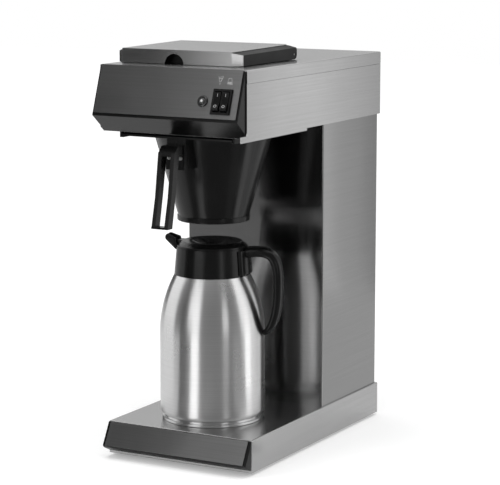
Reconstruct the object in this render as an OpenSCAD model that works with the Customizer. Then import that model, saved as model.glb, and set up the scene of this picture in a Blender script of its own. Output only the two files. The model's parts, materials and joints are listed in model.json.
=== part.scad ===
// Pour-over coffee brewer with a double-walled thermal jug that stands under its filter basket.
// X runs to the right, Y to the back and Z up. Lengths are in millimetres, angles in degrees.

/* [Housing] */
// Width of the base and of the head
body_w = 205; // [195:1:230]
// Depth from the front of the base to the back of the casing
body_d = 353; // [348:1:380]
// Thickness of the casing's steel sheet
sheet_t = 1.2; // [0.8:0.1:1.6]
// Height of the base
base_h = 41; // [34:1:60]
// Height of the column between base and head
column_h = 366; // [350:1:400]
// Depth of the column
column_d = 157; // [145:1:165]
// Distance that the column stands inside the base outline
column_inset = 3; // [2:0.5:6]
// Height of the head
head_h = 82; // [78:1:100]
// Distance that the head reaches ahead of the base
head_overhang = 11; // [8:1:16]
// Height of the top cover's skirt
skirt_h = 16; // [10:1:24]
// Height of the rubber feet
foot_h = 4; // [3:0.5:8]
// Diameter of the rubber feet
foot_d = 20; // [14:1:26]
// Distance of each foot's centre from the base edges
foot_inset = 26; // [20:1:45]

/* [Front] */
// Height of the slanted control panel
panel_h = 60; // [56:1:68]
// Distance that the panel's lower edge stands ahead of its upper edge
panel_lean = 21; // [14:1:28]
// Distance of the panel's ends from the head's sides
panel_side_gap = 4; // [3:0.5:8]
// Wall of the plastic nose behind the panel
nose_wall = 2.5; // [2:0.25:3.5]
// Distance that the base trim reaches ahead of the base
trim_reach = 15; // [10:1:20]
// Height of the base trim's front edge above the bottom of the base
trim_edge_h = 12.5; // [9:0.5:16]
// Thickness of the trim's face plate
trim_face_t = 1; // [0.6:0.1:1.6]

/* [Controls] */
// Distance of the twin switch's centre from the panel's right end
switch_inset = 22; // [18:0.5:30]
// Distance of the switches and the lamp above the panel's lower edge, along the slope
control_rise = 24; // [20:0.5:34]
// Width of one rocker
rocker_w = 8.6; // [8:0.2:11.4]
// Length of one rocker
rocker_l = 24.8; // [20:0.2:28]
// Travel of a rocker from off to on
rocker_travel = 16; // [8:1:20]
// Distance of the pilot lamp from the twin switch's centre
lamp_pitch = 25.9; // [23:0.1:40]
// Outer diameter of the lamp's ring
lamp_ring_d = 14; // [12:0.5:16]

/* [Fill lid] */
// Distance of the lid's left end from the head's left side
lid_left_gap = 1; // [0:0.5:20]
// Width of the lid
lid_w = 174.5; // [150:0.5:180]
// Distance of the lid's front behind the base front
lid_front_y = 22; // [14:1:40]
// Depth of the lid
lid_d = 148; // [125:1:165]
// Height of the lid's front
lid_front_h = 18; // [16:0.5:26]
// Extra height of the lid's back
lid_rise = 1.5; // [0.5:0.5:6]
// Size of the chamfers on the lid's front corners
lid_chamfer = 10; // [4:0.5:14]
// Width of the finger notch
notch_w = 27; // [22:1:34]
// Distance of the finger notch to the left of the middle
notch_x = 17; // [0:1:40]

/* [Filter] */
// Distance of the basket's axis behind the base front
brew_y = 87.5; // [84:0.5:92]
// Radius of the basket's mouth
basket_mouth_r = 74; // [66:0.5:78]
// Radius of the basket's bottom
basket_foot_r = 45.5; // [36:0.5:54]
// Height of the basket below its flange
basket_h = 109.4; // [90:0.1:115]
// Wall of the basket
basket_wall = 2.5; // [1.8:0.1:3.2]
// Thickness of the basket's flange
flange_t = 2.5; // [2:0.1:3]
// Height of the rails that carry the basket
rail_h = 7; // [6:0.5:10]
// Width of the basket handle
basket_handle_w = 23; // [18:0.5:28]
// Thickness of one leg of the basket handle
handle_leg_t = 5.25; // [3:0.25:7]
// Distance that the foot of the basket handle stands ahead of the base
handle_foot_reach = 42; // [38:1:50]

/* [Jug] */
// Distance of the jug's axis ahead of the basket's axis
jug_offset = 4; // [0:0.5:6]
// Radius of the jug's body
jug_r = 66; // [60:0.5:70]
// Height of the jug's straight part
jug_straight_h = 109; // [95:1:125]
// Radius of the shoulder's curve
shoulder_r = 157; // [140:1:175]
// Radius of the shoulder at the collar
neck_r = 47; // [45:0.5:52]
// Wall of the jug's steel shells
shell_t = 0.8; // [0.6:0.1:1.2]
// Space between the jug's shells
vacuum_gap = 4.2; // [3:0.2:5]
// Height of the jug's collar
collar_h = 34.5; // [30:0.5:42]
// Height of the jug lid above the collar
lid_crown_h = 7; // [5:0.5:10]
// Distance of the spout's tip from the jug's axis
spout_reach = 60; // [55:0.5:70]
// Turn of the jug about its axis, handle measured from the right
jug_turn = 14; // [-10:1:40]
// Distance of the grip's middle from the jug's axis
grip_reach = 85.6; // [82:0.2:94]
// Thickness of the grip
grip_t = 10.5; // [8:0.5:14]
// Width of the grip
grip_w = 20; // [16:0.5:26]

/* [Water path] */
// Wall of the water tank
tank_wall = 2; // [1.5:0.25:3]
// Space under the water tank
tank_lift = 28; // [26:0.5:32]
// Outer diameter of the hoses
hose_d = 13; // [12:0.5:14]
// Diameter of the hose barbs
barb_d = 9; // [8:0.25:9.5]
// Bore of the hose barbs
barb_bore = 6; // [4:0.25:6.5]
// Height of the flow heater's body
heater_h = 160; // [120:1:180]
// Height of the flow heater's foot above the base
heater_rise = 85; // [70:1:100]
// Diameter of the spray head
spray_d = 70; // [50:1:90]

/* [Fits] */
// Gap between pieces that slide past each other
slide_gap = 0.3; // [0.25:0.05:0.5]
// Gap between pieces that are fixed to each other
seat_gap = 0.15; // [0.1:0.05:0.2]
// Running clearance of a pin in its bore, on the radius
pin_gap = 0.06; // [0.04:0.01:0.09]

/* [Hidden] */
$fn = 64;
// Overshoot of cutting tools past a face, and depth of a cut through one sheet
cut = 1;
through = sheet_t + 2 * cut;

// Levels and lines of the housing
half_w = body_w / 2;
base_top = foot_h + base_h;
column_top = base_top + column_h;
head_top = column_top + head_h;
floor_top = column_top + sheet_t;
seam_z = head_top - skirt_h;
head_front = -head_overhang;
column_half = half_w - column_inset;
column_back = body_d - column_inset;
column_front = column_back - column_d;
inner_half = half_w - sheet_t;

// Apron of the head's right wall ahead of the column, and the tab at its front foot
apron_h = 3;
apron_past_axis = 54;
apron_back = brew_y + apron_past_axis;
tab_l = 14;
tab_h = 7.5;
cable_passage_d = 30;
stud_l = 4;

// Back cover, its flanges and its screws
flange_w = 14;
cover_margin = 1.5;
screw_d = 4;
screw_head_d = 8;
screw_head_h = 2.4;
screw_l = 9;
cover_back = column_back + sheet_t;
screw_rows = 3;
screw_end_gap = 22;
louvre_count = 9;
louvre_w = 90;
louvre_h = 4;
louvre_pitch = 9;
louvre_rise = 190;

// Mains inlet gland on the back cover
gland_d = 20;
gland_neck_d = 14;
gland_bore = 8;
gland_l = 9;
gland_neck_l = 8;
gland_inset = 37.5;
gland_x = column_half - gland_inset;
gland_rise = 34;

// Slope of the control panel: its upper and lower edges as [y, z], and its angle
panel_overhang = 1;
panel_top = [head_front - panel_overhang, head_top];
panel_low = [panel_top[0] - panel_lean, head_top - panel_h];
panel_angle = atan2(panel_h, panel_lean);
panel_l = norm(panel_top - panel_low);
panel_half = half_w - panel_side_gap;
panel_foot_gap = 3.5;
nose_half = inner_half - slide_gap;
switch_x = panel_half - switch_inset;
lamp_x = switch_x - lamp_pitch;
return_setback = 7;
cover_setback = 0.5;
return_end = [head_front + return_setback, column_top];
panel_skin = sheet_t * [-sin(panel_angle), cos(panel_angle)];
nose_low = panel_low - panel_skin;
nose_low_in = 5;
return_slope = (nose_low[1] - return_end[1]) / (return_end[0] - nose_low[0]);
return_top = column_top + return_slope * return_setback;
cover_front = head_front + cover_setback;
floor_front = return_end[0] + seat_gap;

// Base trim as [y, z] corners, and its slope
trim_wall = 2.5;
trim_top_gap = 0.5;
trim_heel_in = 2;
trim_heel_drop = 3;
trim_foot_rise = 3;
trim_top = [0, base_top - trim_top_gap];
trim_edge = [-trim_reach, foot_h + trim_edge_h];
trim_heel = [-trim_reach + trim_heel_in, foot_h + trim_edge_h - trim_heel_drop];
trim_foot = [0, foot_h + trim_foot_rise];
trim_angle = atan2(trim_top[1] - trim_edge[1], trim_reach);
trim_l = norm(trim_top - trim_edge);

// Twin switch and lamp, in the panel's own plane
rocker_gap = 0.4;
rocker_rib = 1.6;
rocker_pitch = rocker_w + 2 * rocker_gap + rocker_rib;
switch_wall = 1.2;
switch_half = (rocker_pitch + rocker_w) / 2 + rocker_gap + switch_wall;
switch_body_l = rocker_l + 2 * rocker_gap + 2 * switch_wall;
bezel_lap = 1.2;
bezel_end = 3.1;
bezel_half = switch_half + bezel_lap;
bezel_l = rocker_l + 2 * bezel_end;
bezel_t = 2;
switch_body_d = 20;
rocker_pin_d = 2.4;
rocker_pivot = -2;
rocker_crest = 4.4;
rocker_horn = 7.2;
rocker_keel = 4;
lamp_flange_w = 2;
lens_wall = 0.6;
lamp_barrel_d = lamp_ring_d - 2 * lamp_flange_w;
lamp_barrel_l = 15;
lens_d = lamp_barrel_d - 2 * lens_wall;
lens_foot = -6;
lens_dome_h = 2;
ring_edge = 1;
ring_t = 2;

// Fill lid: outline, hinge axis and levels
lid_x0 = -half_w + lid_left_gap;
lid_x1 = lid_x0 + lid_w;
lid_back_y = lid_front_y + lid_d;
lid_foot_gap = 0.6;
lid_foot = head_top + lid_foot_gap;
lid_front_top = head_top + lid_front_h;
lid_sheet_t = 1;
cheek_t = 11.2;
cheek_drop = 4.5;
cheek_lap = 0.6;
cheek_step = 1.4;
lid_back_t = 3;
lid_slope = atan2(lid_rise, lid_d);
hinge_r = 6.2;
hinge_y = lid_back_y - hinge_r;
hinge_z = lid_foot + hinge_r;
hinge_pin_d = 3;
hinge_pin_inset = 0.5;
lid_back_r = 8;
bracket_w = 8;
bracket_inset = 12;
bracket_half = 4.6;
bracket_clear = 9;
bracket_places = [lid_x0 + bracket_inset, lid_x1 - bracket_inset - bracket_w];
notch_r = notch_w / 2;
notch_depth = 14;
notch_wall = 2;

// Opening under the lid, its collar and the water tank
collar_margin = 14;
collar_lap = 5;
collar_t = 1.6;
collar_dip = 8;
fill_x0 = lid_x0 + collar_margin + bracket_inset;
fill_x1 = lid_x1 - collar_margin - bracket_inset;
fill_y0 = lid_front_y + collar_margin + notch_depth;
fill_y1 = hinge_y - collar_margin - collar_lap;
tank_side_gap = 9;
tank_half = half_w - tank_side_gap;
tank_front = 12;
heater_setback = 49;
heater_y = column_front + heater_setback;
bend_r = 22;
outlet_y = heater_y + 2 * bend_r;
tank_overrun = 18;
tank_back = outlet_y + tank_overrun;
tank_foot = floor_top + tank_lift;
tank_headroom = 12;
tank_top = head_top - sheet_t - tank_headroom;
tank_leg_d = 12;
tank_leg_inset = 14;
hose_hole_gap = 1.5;
hose_hole_d = hose_d + 2 * hose_hole_gap;

// Filter rails and basket
flange_lap = 3;
flange_half = basket_mouth_r + flange_lap;
rail_lip_t = 1.6;
rail_t = 2.4;
rail_side_gap = 1;
rail_inner = flange_half + rail_side_gap;
rail_lip_inner = basket_mouth_r + rail_side_gap;
rail_foot = column_top - rail_h;
flange_foot = rail_foot + rail_lip_t + slide_gap;
flange_top = flange_foot + flange_t;
flange_setback = 9;
flange_front = head_front + flange_setback;
flange_back = brew_y + flange_half;
rail_end_gap = 1.5;
rail_back = flange_back + rail_end_gap;
basket_foot = flange_foot - basket_h;
drip_d = 12;
basket_rim_r = 1.5;
basket_band_h = 6.5;
basket_band_step = 0.8;

// Basket handle: levels and lines of its side view
handle_half = basket_handle_w / 2;
plate_half = 13;
plate_t = 3;
plate_front = flange_front - plate_t;
plate_drop = 37;
plate_foot = flange_foot - plate_drop;
root_drop = 7;
root_h = 12;
root_top = flange_foot - root_drop;
root_foot = root_top - root_h;
root_reach = 20;
root_slant = 8;
leg_foot_rise = 4.8;
leg_foot_z = basket_foot + leg_foot_rise;
leg_foot_y = -handle_foot_reach;
leg_depth = 11;
waist_in = 9;
waist_drop = 6;
bridge_t = 2.5;
handle_screw_x = 8;
handle_screw_d = 3;
handle_screw_head_d = 5;
handle_screw_head_h = 1.6;
handle_screw_l = 12;
handle_screw_gap = 1;
handle_screw_drop = root_drop + root_h + handle_screw_head_d / 2 + handle_screw_gap;
handle_screw_z = flange_foot - handle_screw_drop;

// Jug: levels above its own foot
jug_y = brew_y - jug_offset;
jug_stand_gap = 0.2;
jug_foot = base_top + jug_stand_gap;
ring_h = 3;
ring_inset = 2.5;
ring_w = 14;
ring_r = jug_r - ring_inset;
ring_inner = ring_r - ring_w;
ring_edge_r = 1;
groove_depth = 4;
groove_h = 2.5;
shell_foot = ring_h + groove_h;
shell_edge_r = 8;
liner_edge_r = 12;
arc_x = jug_r - shoulder_r;
shoulder_angle = acos((neck_r - arc_x) / shoulder_r);
shoulder_top = jug_straight_h + shoulder_r * sin(shoulder_angle);
neck_ledge = 4;
throat_r = neck_r - neck_ledge;
throat_h = 14;
throat_top = shoulder_top + throat_h;
liner_foot = shell_foot + shell_t + vacuum_gap;
liner_arc_r = shoulder_r - shell_t - vacuum_gap;
liner_throat_gap = 0.4;
liner_throat_r = throat_r - shell_t - liner_throat_gap;
liner_angle = acos((liner_throat_r - arc_x) / liner_arc_r);
mouth_r = liner_throat_r - shell_t;
gasket_t = 1.5;
gasket_bore_gap = 0.5;
ledge_z = throat_top + shell_t + gasket_t;
collar_top = shoulder_top + collar_h;
collar_foot_lap = 0.5;
collar_draft = 2.5;
collar_foot_r = neck_r + collar_foot_lap;
collar_top_r = neck_r - collar_draft;
arc_steps = 14;

// Jug lid: plug, crown and the funnel that leads to the brew tube
plug_gap = 0.6;
plug_dip = 4;
plug_r = mouth_r - plug_gap;
plug_foot = throat_top - plug_dip;
plug_wall = 2.5;
crown_foot = collar_top + slide_gap;
crown_edge_h = 2;
crown_top = collar_top + lid_crown_h;
crown_inset = 0.2;
crown_slope_in = 0.8;
crown_rim_w = 8;
pour_tab_half = 8;
pour_tab_inset = 0.3;
pour_tab_drop = 0.4;
pour_tab_lap = 1;
crown_r = collar_top_r - crown_inset;
crown_top_r = collar_top_r - lid_crown_h - crown_slope_in;
funnel_r = crown_top_r - crown_rim_w;
tube_r = 6;
tube_bore_r = 4.5;
funnel_depth = 10;
tube_foot = 50;
port_count = 6;
port_d = 11;
slot_half = 9;
slot_rise = 4;
slot_end = 1;
slot_foot = ledge_z + slot_rise;
slot_top = collar_top - slot_end;
gasket_w = 8;

// Spout: its root around the collar's top edge, its round tip and the trough between its walls
spout_root_half = 12;
spout_tip_half = 5;
spout_wall = 2;
spout_tip_r = 4.8;
spout_root_drop = 4.2;
spout_root_gap = 0.5;
spout_root_rise = 9;
spout_tip_rise = 9.3;
trough_tip_rise = 0.5;
spout_root_low = collar_top - spout_root_drop;
spout_root_mid = collar_top - spout_root_gap;
spout_root_top = collar_top + spout_root_rise;
spout_tip_z = collar_top + spout_tip_rise;
crown_clear_r = crown_r + slide_gap;
trough_root = spout_root_low + spout_wall;
trough_tip = spout_tip_z + trough_tip_rise;
trough_top = spout_tip_z + spout_tip_r + cut;

// Handle of the jug: top, middle and foot of its centre line, and the bulge of the curves between
grip_top_drop = 5.8;
grip_mid_rise = 8;
grip_foot_rise = 2;
grip_top = collar_top - grip_top_drop;
grip_mid = (grip_top + jug_straight_h) / 2 + grip_mid_rise;
grip_foot = jug_straight_h + grip_foot_rise;
grip_steps = 12;
// Section of the grip, in shares of its half width and half thickness
grip_section = [[-0.8, -1], [0.8, -1], [1, -0.5], [1, 0.3], [0.7, 1], [-0.7, 1], [-1, 0.3], [-1, -0.5]];
grip_sides = len(grip_section);
grip_taper = 0.45;
grip_end_gap = 0.5;
root_swell = 0.2;
upper_bulge = [6, 5];
middle_bulge = [0.8, 5];
lower_bulge = 34;
foot_bulge = [12, 5];
saddle_half = 24;
saddle_t = 3;
saddle_foot_rise = 2;
saddle_top_drop = 2.5;
saddle_foot = shoulder_top + saddle_foot_rise;
saddle_top = collar_top - saddle_top_drop;

// Water path in the column
hose_bore = barb_d + 2 * pin_gap;
barb_l = 18;
hose_end_gap = 2;
bend_rise = 40;
bend_z = base_top + bend_rise;
heater_foot = base_top + heater_rise;
heater_top = heater_foot + heater_h;
heater_body_d = 22;
element_d = 10;
element_tail = 5;
terminal_d = 4;
terminal_l = 8;
element_pitch = 24;
element_y = heater_y - element_pitch;
pad_half = 10;
pad_h = 30;
pad_reach = 3;
pad_front = element_y - heater_body_d / 2 - pad_reach;
pad_z = heater_foot + heater_h / 2;
valve_rise = 105;
valve_z = base_top + valve_rise;
valve_d = 18;
valve_body_h = 30;
tank_hose_drop = 4;
tank_hose_top = column_top - tank_hose_drop;
run_gap = 1.5;
run_z = tank_foot - hose_d / 2 - run_gap;
riser_bend = 15;
drop_bend = 11;
clamp_t = 1.5;
clamp_h = 7;
clamp_reach = 5;
thermostat_d = 16;
thermostat_h = 8;
thermostat_rise = 110;
spray_gap = 0.6;
spray_rise = 3;
spray_lap = 5;
spray_foot = flange_top + spray_gap;
spray_top = floor_top + spray_rise;
spray_rim_d = spray_d + 2 * spray_lap;
spray_wall = 1.2;
spray_rings = 3;
spray_hole_d = 2.4;

// Middle of the outline seen from above, which is the origin
handle_front = leg_foot_y;
gland_back = cover_back + gland_l;
origin_y = (handle_front + gland_back) / 2;

// Points of an arc about a centre, from one angle to another
function arc_points(centre, r, from, to, steps = arc_steps) =
    [
        for (i = [0:steps])
            let (turn = from + (to - from) * i / steps)
            centre + r * [cos(turn), sin(turn)]
    ];

// Point and direction on a cubic curve
function curve_point(p, t) =
    pow(1 - t, 3) * p[0] + 3 * pow(1 - t, 2) * t * p[1] + 3 * (1 - t) * t * t * p[2] + pow(t, 3) * p[3];
function curve_heading(p, t) =
    let (d = pow(1 - t, 2) * (p[1] - p[0]) + 2 * (1 - t) * t * (p[2] - p[1]) + t * t * (p[3] - p[2]))
    d / norm(d);

// Radius of the collar's outside at a height above the jug's foot
function collar_r_at(z) =
    collar_foot_r + (collar_top_r - collar_foot_r) * (z - shoulder_top) / collar_h;

// Moves a piece from the front edge of the base to the origin
module place() {
    translate([0, -origin_y, 0]) children();
}

// Box between two corners
module slab(low, high) {
    translate(low) cube(high - low);
}

// Extrudes a [y, z] outline from one x to another
module across(x0, x1, outline) {
    translate([x0, 0, 0]) rotate([90, 0, 90]) linear_extrude(height = x1 - x0) polygon(outline);
}

// Cylinder along X or Y from a start point
module rod_x(start, d, l) {
    translate(start) rotate([0, 90, 0]) cylinder(d = d, h = l);
}
module rod_y(start, d, l) {
    translate(start) rotate([-90, 0, 0]) cylinder(d = d, h = l);
}

// Control panel's plane: x to the right, y up the slope, z out of the panel
module on_panel() {
    translate([0, panel_low[0], panel_low[1]]) rotate([panel_angle, 0, 0]) children();
}

// Base trim's plane
module on_trim() {
    translate([0, trim_edge[0], trim_edge[1]]) rotate([trim_angle, 0, 0]) children();
}

// Jug's own frame: x along the handle, z up from the jug's foot
module on_jug() {
    translate([0, jug_y, jug_foot]) rotate([0, 0, jug_turn]) children();
}

// Places of the back cover's screws
module at_cover_screws() {
    pitch = (column_h - 2 * screw_end_gap) / (screw_rows - 1);
    for (side = [-1, 1], row = [0:screw_rows - 1])
        translate([side * (column_half - flange_w / 2), 0, base_top + screw_end_gap + row * pitch])
            children();
}

// Places of the feet
module at_feet() {
    for (x = [-half_w + foot_inset, half_w - foot_inset], y = [foot_inset, body_d - foot_inset])
        translate([x, y, 0]) children();
}

// Hose along a straight line up, with its bore
module hose_up(start, l) {
    translate(start) difference() {
        cylinder(d = hose_d, h = l);
        translate([0, 0, -cut]) cylinder(d = hose_bore, h = l + 2 * cut);
    }
}

// Quarter or half bend of a hose in the YZ plane about a centre, from an angle over a sweep
module hose_bend(centre, r, from, sweep) {
    translate(centre) rotate([90, 0, 90]) rotate([0, 0, from]) rotate_extrude(angle = sweep)
        translate([r, 0]) difference() {
            circle(d = hose_d);
            circle(d = hose_bore);
        }
}

module base_pan() {
    color("silver") place() difference() {
        slab([-half_w, 0, foot_h], [half_w, body_d, base_top]);
        slab([-inner_half, sheet_t, foot_h - cut], [inner_half, body_d - sheet_t, base_top - sheet_t]);
        translate([0, heater_y, base_top - sheet_t - cut]) cylinder(d = cable_passage_d, h = through);
    }
}

module base_bottom_plate() {
    color("gray") place() difference() {
        slab([-inner_half + seat_gap, sheet_t + seat_gap, foot_h],
             [inner_half - seat_gap, body_d - sheet_t - seat_gap, foot_h + sheet_t]);
        at_feet() translate([0, 0, foot_h - cut]) cylinder(d = screw_d + 2 * seat_gap, h = through);
    }
}

module feet() {
    color("black") place() at_feet() {
        cylinder(d = foot_d, h = foot_h);
        translate([0, 0, foot_h - cut]) cylinder(d = screw_d, h = stud_l + cut);
    }
}

module base_front_trim() {
    inner_top = [cut, trim_top[1] - 4 * trim_wall];
    inner_edge = [trim_edge[0] + 2 * trim_wall, trim_edge[1] + trim_wall];
    inner_heel = [trim_heel[0] + 2 * trim_wall, trim_heel[1] + trim_wall];
    inner_foot = [cut, trim_foot[1] + trim_wall];
    color("dimgray") place() difference() {
        across(-half_w, half_w, [trim_top, trim_edge, trim_heel, trim_foot]);
        across(-half_w + trim_wall, half_w - trim_wall, [inner_top, inner_edge, inner_heel, inner_foot]);
    }
}

module base_trim_face() {
    color("gray") place() on_trim()
        slab([-panel_half, 0, 0], [panel_half, trim_l - trim_face_t, trim_face_t]);
}

module column_shell() {
    color("silver") place() difference() {
        slab([-column_half, column_front, base_top], [column_half, column_back, column_top]);
        slab([-column_half + sheet_t, column_front + sheet_t, base_top - cut],
             [column_half - sheet_t, column_back - sheet_t, column_top + cut]);
        slab([-column_half + flange_w, column_back - sheet_t - cut, base_top - cut],
             [column_half - flange_w, column_back + cut, column_top + cut]);
        at_cover_screws() rod_y([0, column_back - sheet_t - cut, 0], screw_d + 2 * seat_gap, through);
    }
}

module column_back_cover() {
    louvre_z = base_top + louvre_rise;
    color("gray") place() difference() {
        slab([-column_half + cover_margin, column_back, base_top + cover_margin],
             [column_half - cover_margin, cover_back, column_top - cover_margin]);
        at_cover_screws() rod_y([0, column_back - cut, 0], screw_d + 2 * seat_gap, through);
        for (row = [0:louvre_count - 1])
            slab([-louvre_w / 2, column_back - cut, louvre_z + row * louvre_pitch],
                 [louvre_w / 2, cover_back + cut, louvre_z + row * louvre_pitch + louvre_h]);
        rod_y([gland_x, column_back - cut, base_top + gland_rise], gland_neck_d + 2 * seat_gap, through);
    }
}

module back_cover_screws() {
    color("lightgray") place() at_cover_screws() {
        rod_y([0, cover_back - screw_l, 0], screw_d, screw_l);
        rod_y([0, cover_back, 0], screw_head_d, screw_head_h);
    }
}

module inlet_gland() {
    color("black") place() translate([gland_x, 0, base_top + gland_rise]) difference() {
        union() {
            rod_y([0, cover_back, 0], gland_d, gland_l);
            rod_y([0, column_back - gland_neck_l, 0], gland_neck_d, gland_neck_l + sheet_t + cut);
        }
        rod_y([0, column_back - gland_neck_l - cut, 0], gland_bore, gland_neck_l + gland_l + through);
    }
}

// Side and back walls of the head; the left wall follows the nose, the right has an apron and a tab under it
module head_shell() {
    apron_foot = column_top - apron_h;
    wall_top = seam_z - slide_gap;
    color("silver") place() {
        across(-half_w, -inner_half, [
            [head_front, return_top], return_end, [body_d, column_top],
            [body_d, wall_top], [head_front, wall_top]
        ]);
        slab([inner_half, head_front, column_top], [half_w, body_d, wall_top]);
        slab([inner_half, head_front, apron_foot], [half_w, apron_back, wall_top]);
        slab([inner_half, head_front - tab_l, apron_foot], [half_w, head_front + cut, apron_foot + tab_h]);
        slab([-half_w, body_d - sheet_t, column_top], [half_w, body_d, wall_top]);
    }
}

module head_floor() {
    color("gray") place() difference() {
        slab([-inner_half + seat_gap, floor_front, column_top],
             [inner_half - seat_gap, body_d - sheet_t - seat_gap, floor_top]);
        for (y = [outlet_y, heater_y])
            translate([0, y, column_top - cut]) cylinder(d = hose_hole_d, h = through);
        translate([0, brew_y, column_top - cut]) cylinder(d = spray_d + 2 * slide_gap, h = through);
    }
}

module head_top_cover() {
    color("silver") place() difference() {
        slab([-half_w, cover_front, seam_z], [half_w, body_d, head_top]);
        slab([-inner_half, cover_front - cut, seam_z - cut],
             [inner_half, body_d - sheet_t, head_top - sheet_t]);
        slab([fill_x0, fill_y0, head_top - sheet_t - cut], [fill_x1, fill_y1, head_top + cut]);
    }
}

// Holes for the switch body and the lamp barrel, through everything behind the panel
module control_holes(gap, depth) {
    hole = [switch_half + gap, switch_body_l / 2 + gap];
    on_panel() {
        translate([switch_x, control_rise, 0]) slab([-hole[0], -hole[1], -depth], [hole[0], hole[1], cut]);
        translate([lamp_x, control_rise, -depth]) cylinder(d = lamp_barrel_d + 2 * gap, h = depth + cut);
    }
}

module fascia_nose() {
    top_z = head_top - sheet_t - slide_gap;
    front_top = panel_top - panel_skin - (head_top - top_z) * [1 / tan(panel_angle), 1];
    inner_top = [front_top[0] + nose_wall / sin(panel_angle), top_z + cut];
    inner_low = nose_low + [nose_low_in, nose_wall];
    inner_end = return_end + [cut, nose_wall];
    color("black") place() difference() {
        across(-nose_half, nose_half, [front_top, nose_low, return_end, [return_end[0], top_z]]);
        across(-nose_half + nose_wall, nose_half - nose_wall,
               [inner_top, inner_low, inner_end, [inner_end[0], top_z + cut]]);
        control_holes(2 * slide_gap, switch_body_d + cut);
    }
}

module control_panel() {
    color("darkgray") place() difference() {
        on_panel() slab([-panel_half, panel_foot_gap, -sheet_t], [panel_half, panel_l, 0]);
        control_holes(slide_gap, sheet_t + cut);
    }
}

// Twin switch: a rim on the panel and a box behind it, with a well for each rocker
module switch_bezel() {
    well = [rocker_w / 2 + rocker_gap, rocker_l / 2 + rocker_gap];
    color("black") place() on_panel() translate([switch_x, control_rise, 0]) difference() {
        union() {
            slab([-bezel_half, -bezel_l / 2, 0], [bezel_half, bezel_l / 2, bezel_t]);
            slab([-switch_half, -switch_body_l / 2, -switch_body_d], [switch_half, switch_body_l / 2, cut]);
        }
        for (side = [-1, 1])
            translate([side * rocker_pitch / 2, 0, 0])
                slab([-well[0], -well[1], -switch_body_d + switch_wall], [well[0], well[1], bezel_t + cut]);
        rod_x([-bezel_half, 0, rocker_pivot], rocker_pin_d + 2 * pin_gap, 2 * bezel_half);
    }
}

module rocker_pin() {
    color("gray") place() on_panel() translate([switch_x, control_rise, 0])
        rod_x([-switch_half, 0, rocker_pivot], rocker_pin_d, 2 * switch_half);
}

// Rocker on its pin, tipped to the off side; its face is a shallow vee between round ends
module rocker(x) {
    half_l = rocker_l / 2;
    on_panel() translate([x, control_rise, rocker_pivot]) rotate([-rocker_travel / 2, 0, 0]) difference() {
        rod_x([-rocker_w / 2, 0, 0], rocker_l, rocker_w);
        across(-rocker_w, rocker_w, [
            [-half_l, rocker_l], [half_l, rocker_l], [half_l, rocker_horn], [0, rocker_crest],
            [-half_l, rocker_horn]
        ]);
        slab([-rocker_w, -rocker_l, -rocker_l], [rocker_w, rocker_l, -rocker_keel]);
        rod_x([-rocker_w, 0, 0], rocker_pin_d + 2 * pin_gap, 2 * rocker_w);
    }
}

module rocker_power() {
    color("black") place() rocker(switch_x - rocker_pitch / 2);
}

module rocker_warm() {
    color("black") place() rocker(switch_x + rocker_pitch / 2);
}

module lamp_ring() {
    bore_r = lens_d / 2 + seat_gap;
    barrel_r = lamp_barrel_d / 2;
    rim_r = lamp_ring_d / 2;
    color("silver") place() on_panel() translate([lamp_x, control_rise, 0]) rotate_extrude() polygon([
        [bore_r, -lamp_barrel_l], [barrel_r, -lamp_barrel_l], [barrel_r, 0], [rim_r, 0],
        [rim_r, ring_edge], [rim_r - ring_edge, ring_t], [bore_r, ring_t]
    ]);
}

module lamp_lens() {
    lens_r = lens_d / 2;
    dome_r = (lens_r * lens_r + lens_dome_h * lens_dome_h) / (2 * lens_dome_h);
    dome_half = asin(lens_r / dome_r);
    color("ivory") place() on_panel() translate([lamp_x, control_rise, 0]) rotate_extrude() polygon(concat(
        [[0, lens_foot], [lens_r, lens_foot]],
        arc_points([0, ring_edge + lens_dome_h - dome_r], dome_r, 90 - dome_half, 90, 6)
    ));
}

module fill_collar() {
    inset = slide_gap + collar_t;
    color("black") place() difference() {
        union() {
            slab([fill_x0 - collar_lap, fill_y0 - collar_lap, head_top],
                 [fill_x1 + collar_lap, fill_y1 + collar_lap, head_top + collar_t]);
            slab([fill_x0 + slide_gap, fill_y0 + slide_gap, tank_top - collar_dip],
                 [fill_x1 - slide_gap, fill_y1 - slide_gap, head_top + collar_t]);
        }
        slab([fill_x0 + inset, fill_y0 + inset, tank_top - collar_dip - cut],
             [fill_x1 - inset, fill_y1 - inset, head_top + collar_t + cut]);
    }
}

module lid_hinge_brackets() {
    color("black") place() for (x = bracket_places) difference() {
        union() {
            slab([x, hinge_y - bracket_half, head_top], [x + bracket_w, hinge_y + bracket_half, hinge_z]);
            rod_x([x, hinge_y, hinge_z], 2 * bracket_half, bracket_w);
        }
        rod_x([x - cut, hinge_y, hinge_z], hinge_pin_d + 2 * pin_gap, bracket_w + 2 * cut);
    }
}

module lid_hinge_pin() {
    color("silver") place() rod_x([lid_x0 + hinge_pin_inset, hinge_y, hinge_z], hinge_pin_d,
                                      lid_w - 2 * hinge_pin_inset);
}

// Lid outline seen from above, drawn in at the front and at the sides
function lid_plan(front_inset, side_inset, back_y) =
    let (corner = lid_chamfer + front_inset * sqrt(2))
    [
        [lid_x0 + side_inset, back_y], [lid_x0 + side_inset, lid_front_y + corner - side_inset],
        [lid_x0 + corner - front_inset, lid_front_y + front_inset],
        [lid_x1 - corner + front_inset, lid_front_y + front_inset],
        [lid_x1 - side_inset, lid_front_y + corner - side_inset], [lid_x1 - side_inset, back_y]
    ];

// Height of the lid's sloping top
function lid_top_at(y) = lid_front_top + lid_rise * (y - lid_front_y) / lid_d;

// Prism over an outline seen from above, tall enough for the whole lid
module lid_prism(outline) {
    translate([0, 0, head_top - cut]) linear_extrude(height = lid_front_h + lid_rise + 2 * cut)
        polygon(outline);
}

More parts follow.
